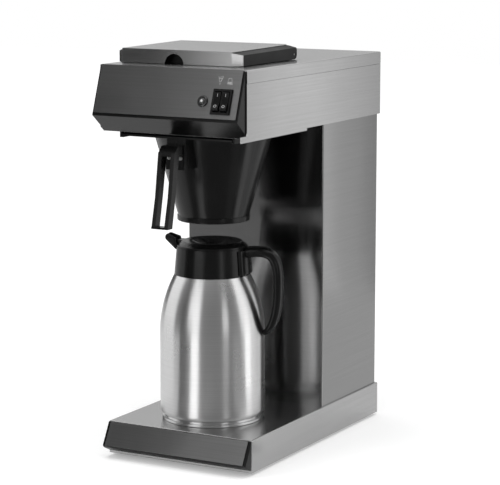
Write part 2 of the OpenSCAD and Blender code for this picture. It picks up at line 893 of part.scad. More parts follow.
// Space above the slanting shoulders of the lid, which fall from the steel to the outer edges of the cheeks
module above_shoulders() {
    edge = lid_chamfer + cheek_lap;
    shoulder = [
        [-edge, cheek_drop], [-edge, -cheek_step], [edge, cheek_step - 2 * cheek_drop], [edge, cheek_drop]
    ];
    for (side = [-1, 1])
        translate([side < 0 ? lid_x0 : lid_x1, lid_front_y, lid_front_top])
            rotate([90 + lid_slope, 0, 0]) translate([0, 0, -lid_d - cut])
                linear_extrude(height = lid_d + 2 * cut)
                    polygon([for (p = shoulder) [side * p[0], p[1]]]);
}

// Finger notch in the lid's front, from one depth to another
module notch(r, y0, y1) {
    rod_y([-notch_x, y0, lid_foot - cut], 2 * r, y1 - y0);
}

module fill_lid() {
    y0 = lid_front_y - cut;
    y1 = lid_back_y - lid_back_r;
    color("silver") place() difference() {
        intersection() {
            lid_prism(lid_plan(0, 0, y1));
            across(lid_x0, lid_x1, [
                [y0, lid_foot], [y1, lid_foot], [y1, lid_top_at(y1)], [y0, lid_top_at(y0)]
            ]);
        }
        intersection() {
            lid_prism(lid_plan(lid_sheet_t, -cut, y1 + cut));
            across(lid_x0 - cut, lid_x1 + cut, [
                [y0, lid_foot - cut], [y1 + cut, lid_foot - cut],
                [y1 + cut, lid_top_at(y1 + cut) - lid_sheet_t], [y0, lid_top_at(y0) - lid_sheet_t]
            ]);
        }
        notch(notch_r, y0, lid_front_y + lid_sheet_t + cut);
        above_shoulders();
    }
}

// Black frame inside the steel lid: cheeks, front wall with the finger scoop, and the hinge end
module fill_lid_frame() {
    lining = lid_sheet_t + seat_gap;
    front = lid_front_y + lining;
    inner_back = lid_back_y - lid_back_t;
    frame_top = lid_top_at(lid_back_y) - lining;
    side_view = concat(
        [[lid_front_y, lid_top_at(lid_front_y) - lining], [lid_front_y, lid_foot]],
        arc_points([hinge_y, hinge_z], hinge_r, -90, 0),
        arc_points([lid_back_y - lid_back_r, frame_top - lid_back_r], lid_back_r, 0, 90, 6)
    );
    color("black") place() difference() {
        intersection() {
            union() {
                difference() {
                    lid_prism(lid_plan(lining, 0, lid_back_y));
                    lid_prism(lid_plan(lining + notch_wall, cheek_t, inner_back));
                }
                notch(notch_r + notch_wall, front, front + notch_depth);
            }
            across(lid_x0, lid_x1, side_view);
        }
        notch(notch_r, lid_front_y, front + notch_depth - notch_wall);
        rod_x([lid_x0 - cut, hinge_y, hinge_z], hinge_pin_d + 2 * pin_gap, lid_x1 - lid_x0 + 2 * cut);
        for (x = bracket_places)
            slab([x - cut, hinge_y - hinge_r, lid_foot - cut],
                 [x + bracket_w + cut, lid_back_y + cut, hinge_z + bracket_clear]);
        above_shoulders();
    }
}

module filter_rails() {
    outer = rail_inner + rail_t;
    lip_w = outer - rail_lip_inner;
    color("black") place() {
        for (side = [-1, 1]) {
            wall_x = side > 0 ? rail_inner : -outer;
            lip_x = side > 0 ? rail_lip_inner : -outer;
            slab([wall_x, flange_front, rail_foot], [wall_x + rail_t, rail_back + cut, column_top]);
            slab([lip_x, flange_front, rail_foot],
                 [lip_x + lip_w, rail_back + cut, rail_foot + rail_lip_t]);
        }
        slab([-outer, rail_back, rail_foot], [outer, rail_back + rail_t, column_top]);
    }
}

// Spray head: a flat box hung in the head floor, with rings of holes and a barb for the hot hose
module spray_head() {
    hose_end = run_z - drop_bend;
    cavity_foot = spray_foot + spray_wall;
    color("gray") place() translate([0, brew_y, 0]) difference() {
        union() {
            translate([0, 0, spray_foot]) cylinder(d = spray_d, h = spray_top - spray_foot);
            translate([0, 0, floor_top]) cylinder(d = spray_rim_d, h = spray_wall);
            translate([0, 0, spray_top - cut]) cylinder(d = barb_d, h = hose_end - spray_top + cut);
        }
        translate([0, 0, cavity_foot])
            cylinder(d = spray_d - 2 * spray_wall, h = spray_top - spray_wall - cavity_foot);
        translate([0, 0, cavity_foot]) cylinder(d = barb_bore, h = hose_end - spray_foot);
        for (ring = [1:spray_rings], i = [0:6 * ring - 1])
            rotate([0, 0, i * 60 / ring]) translate([ring * spray_d / 8, 0, spray_foot - cut])
                cylinder(d = spray_hole_d, h = spray_wall + 2 * cut, $fn = 16);
    }
}

module filter_basket() {
    rim_centre = [basket_foot_r - basket_rim_r, basket_foot + basket_rim_r];
    band_top = basket_foot + basket_band_h;
    cone_foot_r = basket_foot_r - basket_band_step;
    inner_mouth = basket_mouth_r - basket_wall;
    inner_foot = cone_foot_r - basket_wall;
    color("black") place() difference() {
        union() {
            slab([-flange_half, flange_front, flange_foot], [flange_half, flange_back, flange_top]);
            slab([-plate_half, flange_front, plate_foot], [plate_half, brew_y, flange_foot + cut]);
            translate([0, brew_y, 0]) rotate_extrude($fn = 96) polygon(concat(
                [[0, basket_foot]],
                arc_points(rim_centre, basket_rim_r, -90, 0, 5),
                [[basket_foot_r, band_top], [cone_foot_r, band_top + basket_band_step]],
                [[basket_mouth_r, flange_foot], [basket_mouth_r, flange_top], [0, flange_top]]
            ));
        }
        translate([0, brew_y, 0]) rotate_extrude($fn = 96) polygon([
            [0, basket_foot + basket_wall], [inner_foot, basket_foot + basket_wall],
            [inner_foot, band_top], [inner_mouth, flange_foot], [inner_mouth, flange_top + cut],
            [0, flange_top + cut]
        ]);
        translate([0, brew_y, basket_foot - cut]) cylinder(d = drip_d, h = basket_wall + 2 * cut);
        at_handle_screws() rod_y([0, flange_front - cut, 0], handle_screw_d + 2 * seat_gap, handle_screw_l);
    }
}

// Places of the screws that hold the basket handle
module at_handle_screws() {
    for (side = [-1, 1]) translate([side * handle_screw_x, 0, handle_screw_z]) children();
}

// Handle of the basket: a plate on the basket's lug, a root block, and two legs with a bridge
module basket_handle() {
    waist_z = (root_foot + leg_foot_z) / 2;
    root_front = plate_front - root_reach;
    leg = [
        [plate_front, root_top], [root_front + root_slant, root_top], [root_front, root_top - root_slant],
        [leg_foot_y + waist_in, waist_z - waist_drop], [leg_foot_y, leg_foot_z],
        [leg_foot_y + leg_depth, leg_foot_z], [leg_foot_y + waist_in + leg_depth, waist_z],
        [root_front + leg_depth, root_foot], [plate_front, root_foot]
    ];
    block = [
        [plate_front, root_top], [root_front + root_slant, root_top], [root_front, root_top - root_slant],
        [root_front, root_foot], [plate_front, root_foot]
    ];
    color("black") place() difference() {
        union() {
            slab([-plate_half, plate_front, plate_foot], [plate_half, flange_front, root_top]);
            across(-handle_half, handle_half, block);
            for (x = [-handle_half, handle_half - handle_leg_t]) across(x, x + handle_leg_t, leg);
            slab([-handle_half, leg_foot_y, leg_foot_z],
                 [handle_half, leg_foot_y + leg_depth, leg_foot_z + bridge_t]);
        }
        at_handle_screws()
            rod_y([0, plate_front - cut, 0], handle_screw_d + 2 * seat_gap, plate_t + 2 * cut);
    }
}

module basket_handle_screws() {
    color("silver") place() at_handle_screws() {
        rod_y([0, plate_front - handle_screw_head_h, 0], handle_screw_head_d, handle_screw_head_h);
        rod_y([0, plate_front - cut, 0], handle_screw_d, handle_screw_l);
    }
}

module water_tank() {
    x = tank_half - tank_leg_inset;
    color("whitesmoke") place() difference() {
        union() {
            slab([-tank_half, tank_front, tank_foot], [tank_half, tank_back, tank_top]);
            for (leg_x = [-x, x], leg_y = [tank_front + tank_leg_inset, tank_back - tank_leg_inset])
                translate([leg_x, leg_y, floor_top]) cylinder(d = tank_leg_d, h = tank_lift + cut);
            translate([0, outlet_y, tank_hose_top - barb_l])
                cylinder(d = barb_d, h = tank_foot + cut - tank_hose_top + barb_l);
        }
        slab([-tank_half + tank_wall, tank_front + tank_wall, tank_foot + tank_wall],
             [tank_half - tank_wall, tank_back - tank_wall, tank_top + cut]);
        translate([0, outlet_y, tank_hose_top - barb_l - cut]) cylinder(d = barb_bore, h = head_h);
    }
}

// Upper hose from the tank to the valve, and lower hose from the valve through the bend to the heater
module cold_hoses() {
    valve_top = valve_z + valve_body_h + hose_end_gap;
    color("gainsboro") place() {
        hose_up([0, outlet_y, valve_top], tank_hose_top - valve_top);
        hose_up([0, outlet_y, bend_z], valve_z - hose_end_gap - bend_z);
        hose_bend([0, heater_y + bend_r, bend_z], bend_r, 180, 180);
        hose_up([0, heater_y, bend_z], heater_foot - hose_end_gap - bend_z);
    }
}

module check_valve() {
    color("white") place() translate([0, outlet_y, valve_z]) difference() {
        union() {
            cylinder(d = valve_d, h = valve_body_h);
            translate([0, 0, -barb_l]) cylinder(d = barb_d, h = valve_body_h + 2 * barb_l);
        }
        translate([0, 0, -barb_l - cut]) cylinder(d = barb_bore, h = valve_body_h + 2 * barb_l + 2 * cut);
    }
}

// Flow heater: a water tube and an element tube cast together, with a pad for the bracket
module flow_heater() {
    r = heater_body_d / 2;
    color("lightgray") place() difference() {
        union() {
            for (y = [heater_y, element_y])
                translate([0, y, heater_foot]) cylinder(d = heater_body_d, h = heater_h);
            slab([-r, element_y, heater_foot], [r, heater_y, heater_top]);
            slab([-pad_half, pad_front, pad_z - pad_h / 2], [pad_half, element_y, pad_z + pad_h / 2]);
            translate([0, heater_y, heater_foot - barb_l]) cylinder(d = barb_d, h = heater_h + 2 * barb_l);
        }
        translate([0, heater_y, heater_foot - barb_l - cut])
            cylinder(d = barb_bore, h = heater_h + 2 * barb_l + 2 * cut);
        translate([0, element_y, heater_foot - cut])
            cylinder(d = element_d + 2 * pin_gap, h = heater_h + 2 * cut);
    }
}

module heater_element() {
    l = heater_h + 2 * element_tail;
    color("gray") place() translate([0, element_y, heater_foot - element_tail]) {
        cylinder(d = element_d, h = l);
        translate([0, 0, -terminal_l]) cylinder(d = terminal_d, h = l + 2 * terminal_l);
    }
}

module heater_bracket() {
    x = column_half - sheet_t;
    color("silver") place() {
        slab([-x, pad_front - sheet_t, pad_z - pad_h / 2], [x, pad_front, pad_z + pad_h / 2]);
        for (side = [-1, 1])
            slab([side > 0 ? x - sheet_t : -x, pad_front - cut, pad_z - pad_h / 2],
                 [side > 0 ? x : -x + sheet_t, pad_front + flange_w, pad_z + pad_h / 2]);
    }
}

module thermostat() {
    start = [heater_body_d / 2, (heater_y + element_y) / 2, heater_foot + thermostat_rise];
    color("white") place() {
        rod_x(start, thermostat_d, thermostat_h);
        for (side = [-1, 1])
            rod_x(start + [thermostat_h - cut, side * terminal_d, 0], terminal_d, terminal_l);
    }
}

module hot_hose() {
    riser_foot = heater_top + hose_end_gap;
    drop_foot = spray_top + slide_gap;
    y0 = brew_y + drop_bend;
    y1 = heater_y - riser_bend;
    color("gainsboro") place() {
        hose_up([0, heater_y, riser_foot], run_z - riser_bend - riser_foot);
        hose_bend([0, y1, run_z - riser_bend], riser_bend, 0, 90);
        difference() {
            rod_y([0, y0, run_z], hose_d, y1 - y0);
            rod_y([0, y0 - cut, run_z], hose_bore, y1 - y0 + 2 * cut);
        }
        hose_bend([0, y0, run_z - drop_bend], drop_bend, 90, 90);
        hose_up([0, brew_y, drop_foot], run_z - drop_bend - drop_foot);
    }
}

module hose_clamps() {
    ends = [
        [outlet_y, tank_hose_top - clamp_reach - clamp_h],
        [outlet_y, valve_z + valve_body_h + clamp_reach],
        [outlet_y, valve_z - clamp_reach - clamp_h],
        [heater_y, heater_foot - clamp_reach - clamp_h],
        [heater_y, heater_top + clamp_reach]
    ];
    color("silver") place() for (end = ends) translate([0, end[0], end[1]]) difference() {
        cylinder(d = hose_d + 2 * seat_gap + 2 * clamp_t, h = clamp_h);
        translate([0, 0, -cut]) cylinder(d = hose_d + 2 * seat_gap, h = clamp_h + 2 * cut);
    }
}

module jug_base_ring() {
    groove_r = ring_r - groove_depth;
    color("silver") place() on_jug() rotate_extrude($fn = 96) polygon(concat(
        [[ring_inner, 0]],
        arc_points([ring_r - ring_edge_r, ring_edge_r], ring_edge_r, -90, 0, 5),
        [[ring_r, ring_h], [groove_r, ring_h], [groove_r, shell_foot], [ring_inner, shell_foot]]
    ));
}

module jug_outer_shell() {
    edge = shell_edge_r;
    inner_r = shoulder_r - shell_t;
    inner_angle = asin((shoulder_top - shell_t - jug_straight_h) / inner_r);
    color("silver") place() on_jug() rotate_extrude($fn = 96) polygon(concat(
        [[0, shell_foot]],
        arc_points([jug_r - edge, shell_foot + edge], edge, -90, 0, 6),
        arc_points([arc_x, jug_straight_h], shoulder_r, 0, shoulder_angle),
        [[throat_r, shoulder_top], [throat_r, throat_top]],
        [[throat_r - shell_t, throat_top], [throat_r - shell_t, shoulder_top - shell_t]],
        arc_points([arc_x, jug_straight_h], inner_r, inner_angle, 0),
        arc_points([jug_r - edge, shell_foot + edge], edge - shell_t, 0, -90, 6),
        [[0, shell_foot + shell_t]]
    ));
}

module jug_inner_liner() {
    edge = liner_edge_r;
    r = jug_r - shell_t - vacuum_gap;
    inner_r = liner_arc_r - shell_t;
    inner_angle = acos((mouth_r - arc_x) / inner_r);
    color("silver") place() on_jug() rotate_extrude($fn = 96) polygon(concat(
        [[0, liner_foot]],
        arc_points([r - edge, liner_foot + edge], edge, -90, 0, 6),
        arc_points([arc_x, jug_straight_h], liner_arc_r, 0, liner_angle),
        [[liner_throat_r, throat_top], [throat_r, throat_top]],
        [[throat_r, throat_top + shell_t], [mouth_r, throat_top + shell_t]],
        arc_points([arc_x, jug_straight_h], inner_r, inner_angle, 0),
        arc_points([r - edge, liner_foot + edge], edge - shell_t, 0, -90, 6),
        [[0, liner_foot + shell_t]]
    ));
}

module collar_gasket() {
    color("black") place() on_jug() rotate_extrude($fn = 96)
        translate([mouth_r + gasket_bore_gap, throat_top + shell_t])
            square([throat_r - mouth_r - gasket_bore_gap, gasket_t]);
}

// Collar with its spout: a horn with a trough, which leads from the collar's bore to the round tip
module jug_collar() {
    bore_r = mouth_r + slide_gap;
    trough_root_half = spout_root_half - spout_wall;
    trough_tip_half = spout_tip_half - spout_wall;
    tip = [-spout_reach + spout_tip_r, -spout_tip_half, spout_tip_z];
    color("black") place() on_jug() difference() {
        union() {
            rotate_extrude($fn = 96) polygon([
                [throat_r + slide_gap, shoulder_top], [collar_foot_r, shoulder_top],
                [collar_top_r, collar_top], [bore_r, collar_top], [bore_r, ledge_z],
                [throat_r + slide_gap, ledge_z]
            ]);
            difference() {
                hull() {
                    slab([-collar_top_r, -spout_root_half, spout_root_low],
                         [-collar_top_r + spout_wall, spout_root_half, spout_root_mid]);
                    slab([-crown_clear_r - spout_wall, -spout_root_half, spout_root_mid],
                         [-crown_clear_r, spout_root_half, spout_root_top]);
                    rod_y(tip, 2 * spout_tip_r, 2 * spout_tip_half, $fn = 24);
                }
                translate([0, 0, collar_top]) cylinder(r = crown_clear_r, h = trough_top - collar_top);
            }
        }
        hull() {
            slab([-bore_r + spout_wall, -trough_root_half, trough_root],
                 [-bore_r + spout_wall + cut, trough_root_half, trough_top]);
            slab([-spout_reach - cut, -trough_tip_half, trough_tip],
                 [-spout_reach, trough_tip_half, trough_top]);
        }
    }
}

// Solid of the jug's straight part and shoulder, let out by a distance
module jug_solid(out) {
    rotate_extrude($fn = 96) polygon(concat(
        [[0, 0], [jug_r + out, 0]],
        arc_points([arc_x, jug_straight_h], shoulder_r + out, 0, shoulder_angle),
        [[0, shoulder_top]]
    ));
}

// One ring of the grip's sweep: an eight-sided section with slants on its outer side
function grip_ring(p, t, size) =
    let (
        centre = curve_point(p, t),
        heading = curve_heading(p, t),
        out = [-heading[1], heading[0]],
        w = size * grip_w / 2,
        h = size * grip_t / 2
    )
    [
        for (q = grip_section)
            [centre[0] + out[0] * q[1] * h, q[0] * w, centre[1] + out[1] * q[1] * h]
    ];

// Jug handle: a saddle on the collar and a grip that loops down to the body
module jug_handle() {
    root = [collar_r_at(grip_top) + saddle_t / 2, grip_top];
    middle = [grip_reach, grip_mid];
    end = [jug_r + grip_end_gap, grip_foot];
    upper = [root, [grip_reach - upper_bulge[0], grip_top + upper_bulge[1]],
             [grip_reach + middle_bulge[0], grip_top - middle_bulge[1]], middle];
    lower = [middle, middle - [0, lower_bulge], end + foot_bulge, end];
    rings = concat(
        [for (i = [0:grip_steps - 1])
            let (t = i / grip_steps) grip_ring(upper, t, 1 + root_swell * pow(1 - t, 3))],
        [for (i = [0:grip_steps])
            let (t = i / grip_steps) grip_ring(lower, t, 1 - grip_taper * pow(t, 3))]
    );
    last = len(rings) - 1;
    side_faces = [
        for (i = [0:last - 1], j = [0:grip_sides - 1])
            let (a = i * grip_sides + j, b = i * grip_sides + (j + 1) % grip_sides)
            each [[a, a + grip_sides, b + grip_sides], [a, b + grip_sides, b]]
    ];
    end_faces = [[for (j = [0:grip_sides - 1]) j], [for (j = [grip_sides - 1:-1:0]) last * grip_sides + j]];
    low_r = collar_r_at(saddle_foot) + seat_gap;
    high_r = collar_r_at(saddle_top) + seat_gap;
    color("black") place() on_jug() {
        difference() {
            polyhedron(points = [for (ring = rings) each ring], faces = concat(side_faces, end_faces));
            jug_solid(seat_gap);
        }
        intersection() {
            rotate_extrude($fn = 96) polygon([
                [low_r, saddle_foot], [low_r + saddle_t, saddle_foot], [high_r + saddle_t, saddle_top],
                [high_r, saddle_top]
            ]);
            slab([0, -saddle_half, 0], [jug_r, saddle_half, collar_top]);
        }
    }
}

// Lid of the jug: a plug under a crown, with a tab that meets the spout
module jug_lid() {
    funnel_foot = crown_top - funnel_depth;
    chamber_top = funnel_foot - plug_wall;
    chamber_foot = plug_foot + plug_wall;
    chamber_r = plug_r - plug_wall;
    hub_r = tube_r + seat_gap;
    tab_foot = crown_foot + crown_edge_h / 2;
    color("black") place() on_jug() difference() {
        union() {
            rotate_extrude($fn = 96) polygon([
                [hub_r, plug_foot], [plug_r, plug_foot], [plug_r, crown_foot], [crown_r, crown_foot],
                [crown_r, crown_foot + crown_edge_h], [crown_top_r, crown_top], [funnel_r, crown_top],
                [tube_bore_r, funnel_foot], [tube_bore_r, chamber_top], [chamber_r, chamber_top],
                [chamber_r, chamber_foot], [hub_r, chamber_foot]
            ]);
            intersection() {
                slab([-crown_r, -pour_tab_half, tab_foot],
                     [-crown_top_r + pour_tab_lap, pour_tab_half, crown_top - pour_tab_drop]);
                translate([0, 0, tab_foot - cut])
                    cylinder(r = crown_r - pour_tab_inset, h = lid_crown_h, $fn = 96);
            }
        }
        for (i = [0:port_count - 1])
            rotate([0, 0, i * 360 / port_count]) translate([plug_r / 2, 0, plug_foot - cut])
                cylinder(d = port_d, h = plug_wall + 2 * cut);
        slab([-plug_r - cut, -slot_half, slot_foot], [-chamber_r + cut, slot_half, slot_top]);
    }
}

module lid_gasket() {
    color("gray") place() on_jug() rotate_extrude($fn = 96)
        translate([plug_r + slide_gap - gasket_w, plug_foot - gasket_t]) square([gasket_w, gasket_t]);
}

module brew_tube() {
    color("black") place() on_jug() rotate_extrude()
        translate([tube_bore_r, tube_foot])
            square([tube_r - tube_bore_r, crown_top - funnel_depth - plug_wall - tube_foot]);
}

base_pan();
base_bottom_plate();
feet();
base_front_trim();
base_trim_face();
column_shell();
column_back_cover();
back_cover_screws();
inlet_gland();
head_shell();
head_floor();
head_top_cover();
fascia_nose();
control_panel();
switch_bezel();
rocker_pin();
rocker_power();
rocker_warm();
lamp_ring();
lamp_lens();
fill_collar();
lid_hinge_brackets();
lid_hinge_pin();
fill_lid();
fill_lid_frame();
filter_rails();
spray_head();
filter_basket();
basket_handle();
basket_handle_screws();
water_tank();
cold_hoses();
check_valve();
flow_heater();
heater_element();
heater_bracket();
thermostat();
hot_hose();
hose_clamps();
jug_base_ring();
jug_outer_shell();
jug_inner_liner();
jug_collar();
collar_gasket();
jug_handle();
jug_lid();
lid_gasket();
brew_tube();
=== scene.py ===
"""Looks and stage of a pour-over coffee brewer with a thermal jug, built on the frame of its CAD model.

Sizes in the classes are millimetres of the drawing: x to the right, y to the back from the front edge of the
base, z up from the floor. The frame is in metres, with its origin on the floor under the middle of the
outline, and so is the stage.
"""

import json
import logging
import math
from dataclasses import dataclass
from enum import Enum
from typing import ClassVar, Sequence

import bmesh
import bpy
from mathutils import Matrix, Vector


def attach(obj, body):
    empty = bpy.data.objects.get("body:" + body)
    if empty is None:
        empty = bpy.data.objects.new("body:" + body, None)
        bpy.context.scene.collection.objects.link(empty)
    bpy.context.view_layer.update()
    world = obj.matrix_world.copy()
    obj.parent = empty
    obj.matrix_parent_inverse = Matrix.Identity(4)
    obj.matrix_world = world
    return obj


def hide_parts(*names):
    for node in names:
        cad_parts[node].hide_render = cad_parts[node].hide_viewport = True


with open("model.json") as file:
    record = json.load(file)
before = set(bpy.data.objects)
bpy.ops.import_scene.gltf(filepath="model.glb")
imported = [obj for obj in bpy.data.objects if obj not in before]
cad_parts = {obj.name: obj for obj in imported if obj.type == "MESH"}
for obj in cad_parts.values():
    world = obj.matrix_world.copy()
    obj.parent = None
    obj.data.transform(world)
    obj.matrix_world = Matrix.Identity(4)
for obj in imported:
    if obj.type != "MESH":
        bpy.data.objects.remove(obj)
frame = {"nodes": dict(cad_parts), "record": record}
log = logging.getLogger("brewer")

Flat = tuple[float, float]
Solid = tuple[float, float, float]
Mesh = bmesh.types.BMesh
Material = bpy.types.Material
Object = bpy.types.Object
Socket = bpy.types.NodeSocket

MM = 0.001
DRAWING_SHIFT = -159.1
"""Shift of y from the drawing to the frame, in millimetres."""

IN_METRES = Matrix.Scale(MM, 4)
TO_FRAME = IN_METRES @ Matrix.Translation((0.0, DRAWING_SHIFT, 0.0))

# Points that lie closer become one: in a new mesh and a CAD node, in metres, and in a sheet, in millimetres
SAME_POINT = 1e-7
SAME_NODE_POINT = 2e-6
SAME_CORNER = 1e-4

# Edges that are shorter vanish, in metres
NO_LENGTH = 1e-8

# Faces that meet within this angle are one flat face, in degrees
FLAT_WITHIN = 0.4

# Edges stay sharp past these angles, in degrees
SHARP = 32.0
ROUNDED_SHARP = 50.0
FOLDED_SHARP = 40.0
HOOD_SHARP = 45.0

# Rounded edges and bends: steps across them, a round profile, and the least angle of a bend in radians
EDGE_STEPS = 3
BEND_STEPS = 5
BEND_PROFILE = 0.5
LEAST_BEND = 0.1

# Largest share of a side that the curve at a corner takes
MOST_SETBACK = 0.49


class Body(Enum):
    """Moving bodies of the CAD model."""

    HOUSING = "housing"
    FILL_LID = "fill_lid"
    ROCKER_POWER = "rocker_power"
    ROCKER_WARM = "rocker_warm"
    BASKET = "basket"
    JUG = "jug"
    JUG_LID = "jug_lid"


class Slot(Enum):
    """Material slots of the record."""

    SATIN_STEEL = "satin_steel"
    POLISHED_STEEL = "polished_steel"
    SHEET_STEEL = "sheet_steel"
    JUG_STEEL = "jug_steel"
    SCREW_STEEL = "screw_steel"
    LAMP_CHROME = "lamp_chrome"
    LAMP_GLASS = "lamp_glass"
    PANEL_GREY = "panel_grey"
    BLACK_GLOSS = "black_gloss"
    BLACK_MATTE = "black_matte"
    FOOT_RUBBER = "foot_rubber"
    HOSE_SILICONE = "hose_silicone"
    WHITE_PLASTIC = "white_plastic"
    HEATER_ALUMINIUM = "heater_aluminium"
    ELEMENT_STEEL = "element_steel"


class Grain(Enum):
    """Run of a brushed grain, as the fineness of its pattern along each axis per metre."""

    LEVEL = (6.0, 6.0, 650.0)
    AROUND = (2.0, 2.0, 800.0)
    NONE = (160.0, 160.0, 160.0)


ACROSS_GRAIN: Solid = (0.0, 0.02, 1.0)
"""Upright on every upright face and along y on a level one, so that a grain lies level everywhere."""

NOISE_SPAN: Flat = (0.3, 0.7)
"""Part of a noise's values that the finishes spread over their range."""


class Shader:
    """Node graph of one material, with the steps that the finishes share."""

    def __init__(self, name: str) -> None:
        """Starts a material with a plain surface.

        Args:
            name: Name of the material.
        """
        self.material = bpy.data.materials.new(name)
        self.material.use_nodes = True
        self.tree = self.material.node_tree
        self.surface = self.tree.nodes["Principled BSDF"]
        self.place = self.tree.nodes.new("ShaderNodeTexCoord").outputs["Object"]

    def settle(self, **values: object) -> None:
        """Sets constants on the surface, with spaces in the socket names written as underscores."""
        for name, value in values.items():
            self.surface.inputs[name.replace("_", " ")].default_value = value

    def feed(self, source: Socket, name: str) -> None:
        """Links a value to a named socket of the surface."""
        self.tree.links.new(source, self.surface.inputs[name])

    def noise(self, fineness: Solid, detail: float) -> Socket:
        """Noise over the object's own place.

        Args:
            fineness: Cycles per metre along x, y and z.
            detail: Number of finer layers.

        Returns:
            The noise's value, from 0 to 1.
        """
        mapping = self.tree.nodes.new("ShaderNodeMapping")
        mapping.inputs["Scale"].default_value = fineness
        texture = self.tree.nodes.new("ShaderNodeTexNoise")
        texture.inputs["Scale"].default_value = 1.0
        texture.inputs["Detail"].default_value = detail
        self.tree.links.new(self.place, mapping.inputs["Vector"])
        self.tree.links.new(mapping.outputs["Vector"], texture.inputs["Vector"])
        return texture.outputs["Fac"]

    def spread(self, source: Socket, low: float, high: float) -> Socket:
        """Spreads a noise between two levels.

        Args:
            source: Value of the noise.
            low: Level at the start of its span.
            high: Level at the end of its span.

        Returns:
            The spread value.
        """
        node = self.tree.nodes.new("ShaderNodeMapRange")
        set_range(node, NOISE_SPAN, (low, high))
        self.tree.links.new(source, node.inputs["Value"])
        return node.outputs["Result"]

    def tint(self, source: Socket, dark: float, light: float) -> Socket:
        """Neutral colour between two tones.

        Args:
            source: Value of a noise.
            dark: Tone at the start of its span.
            light: Tone at the end of its span.

        Returns:
            The colour.
        """
        ramp = self.tree.nodes.new("ShaderNodeValToRGB")
        for element, position, tone in zip(ramp.color_ramp.elements, NOISE_SPAN, (dark, light)):
            element.position = position
            element.color = (tone, tone, tone, 1.0)
        self.tree.links.new(source, ramp.inputs["Fac"])
        return ramp.outputs["Color"]

    def relief(self, source: Socket, strength: float, height: float) -> None:
        """Feeds a fine relief to the surface.

        Args:
            source: Height from 0 to 1.
            strength: Strength of the relief.
            height: Height of the relief in metres.
        """
        bump = self.tree.nodes.new("ShaderNodeBump")
        bump.inputs["Strength"].default_value = strength
        bump.inputs["Distance"].default_value = height
        self.tree.links.new(source, bump.inputs["Height"])
        self.feed(bump.outputs["Normal"], "Normal")

    def brush(self, amount: float) -> None:
        """Draws reflections out across the grain.

        Args:
            amount: Strength of the effect, from 0 to 1.
        """
        across = self.tree.nodes.new("ShaderNodeCombineXYZ")
        for name, value in zip("XYZ", ACROSS_GRAIN):
            across.inputs[name].default_value = value
        self.feed(across.outputs["Vector"], "Tangent")
        self.settle(Anisotropic=amount)


def set_range(node: bpy.types.Node, source: Flat, target: Flat) -> None:
    """Sets the two ranges of a Map Range node."""
    for name, value in zip(("From Min", "From Max", "To Min", "To Max"), (*source, *target)):
        node.inputs[name].default_value = value


def bare_material(name: str) -> Material:
    """Starts a material without nodes.

    Args:
        name: Name of the material.

    Returns:
        The material.
    """
    material = bpy.data.materials.new(name)
    material.use_nodes = True
    material.node_tree.nodes.clear()
    return material


@dataclass(frozen=True)
class Finish:
    """Look of one material slot."""

    name: str
    tone: float
    roughness: float

    def material(self) -> Material:
        """Material of this finish, made at its first use."""
        return bpy.data.materials.get(self.name) or self.make()

    def make(self) -> Material:
        """Builds the material."""
        raise NotImplementedError


@dataclass(frozen=True)
class Steel(Finish):
    """Metal with a brushed grain and a little unevenness."""

    grain: Grain = Grain.NONE
    contrast: float = 0.12
    ripple: float = 0.05
    lengthwise: float = 0.0

    LINE_DETAIL: ClassVar[float] = 2.0
    LINE_HEIGHT: ClassVar[float] = 0.0002
    SMUDGES: ClassVar[Solid] = (16.0, 16.0, 16.0)
    SMUDGE_DETAIL: ClassVar[float] = 3.0
    UNEVENNESS: ClassVar[Flat] = (0.88, 1.12)

    def make(self) -> Material:
        """Builds the material.

        Returns:
            The material.
        """
        shader = Shader(self.name)
        lines = shader.noise(self.grain.value, self.LINE_DETAIL)
        smudges = shader.noise(self.SMUDGES, self.SMUDGE_DETAIL)
        dark, light = self.tone * (1 - self.contrast), self.tone * (1 + self.contrast)
        low, high = (self.roughness * share for share in self.UNEVENNESS)
        shader.settle(Metallic=1.0)
        shader.feed(shader.tint(lines, dark, light), "Base Color")
        shader.feed(shader.spread(smudges, low, high), "Roughness")
        if self.ripple:
            shader.relief(lines, self.ripple, self.LINE_HEIGHT)
        if self.lengthwise:
            shader.brush(self.lengthwise)
        return shader.material


@dataclass(frozen=True)
class Moulded(Finish):
    """Moulded plastic or rubber with a fine skin."""

    skin: float = 0.1
    fineness: float = 900.0
    shine: float = 0.5

    DETAIL: ClassVar[float] = 2.0
    SKIN_HEIGHT: ClassVar[float] = 0.0001
    CLOUDS: ClassVar[Solid] = (25.0, 25.0, 25.0)
    UNEVENNESS: ClassVar[Flat] = (0.85, 1.15)

    def make(self) -> Material:
        """Builds the material.

        Returns:
            The material.
        """
        shader = Shader(self.name)
        skin = shader.noise((self.fineness,) * 3, self.DETAIL)
        cloud = shader.noise(self.CLOUDS, self.DETAIL)
        dark, light = (self.tone * share for share in self.UNEVENNESS)
        low, high = (self.roughness * share for share in self.UNEVENNESS)
        shader.feed(shader.tint(cloud, dark, light), "Base Color")
        shader.feed(shader.spread(cloud, low, high), "Roughness")
        shader.relief(skin, self.skin, self.SKIN_HEIGHT)
        shader.settle(Specular_IOR_Level=self.shine)
        return shader.material


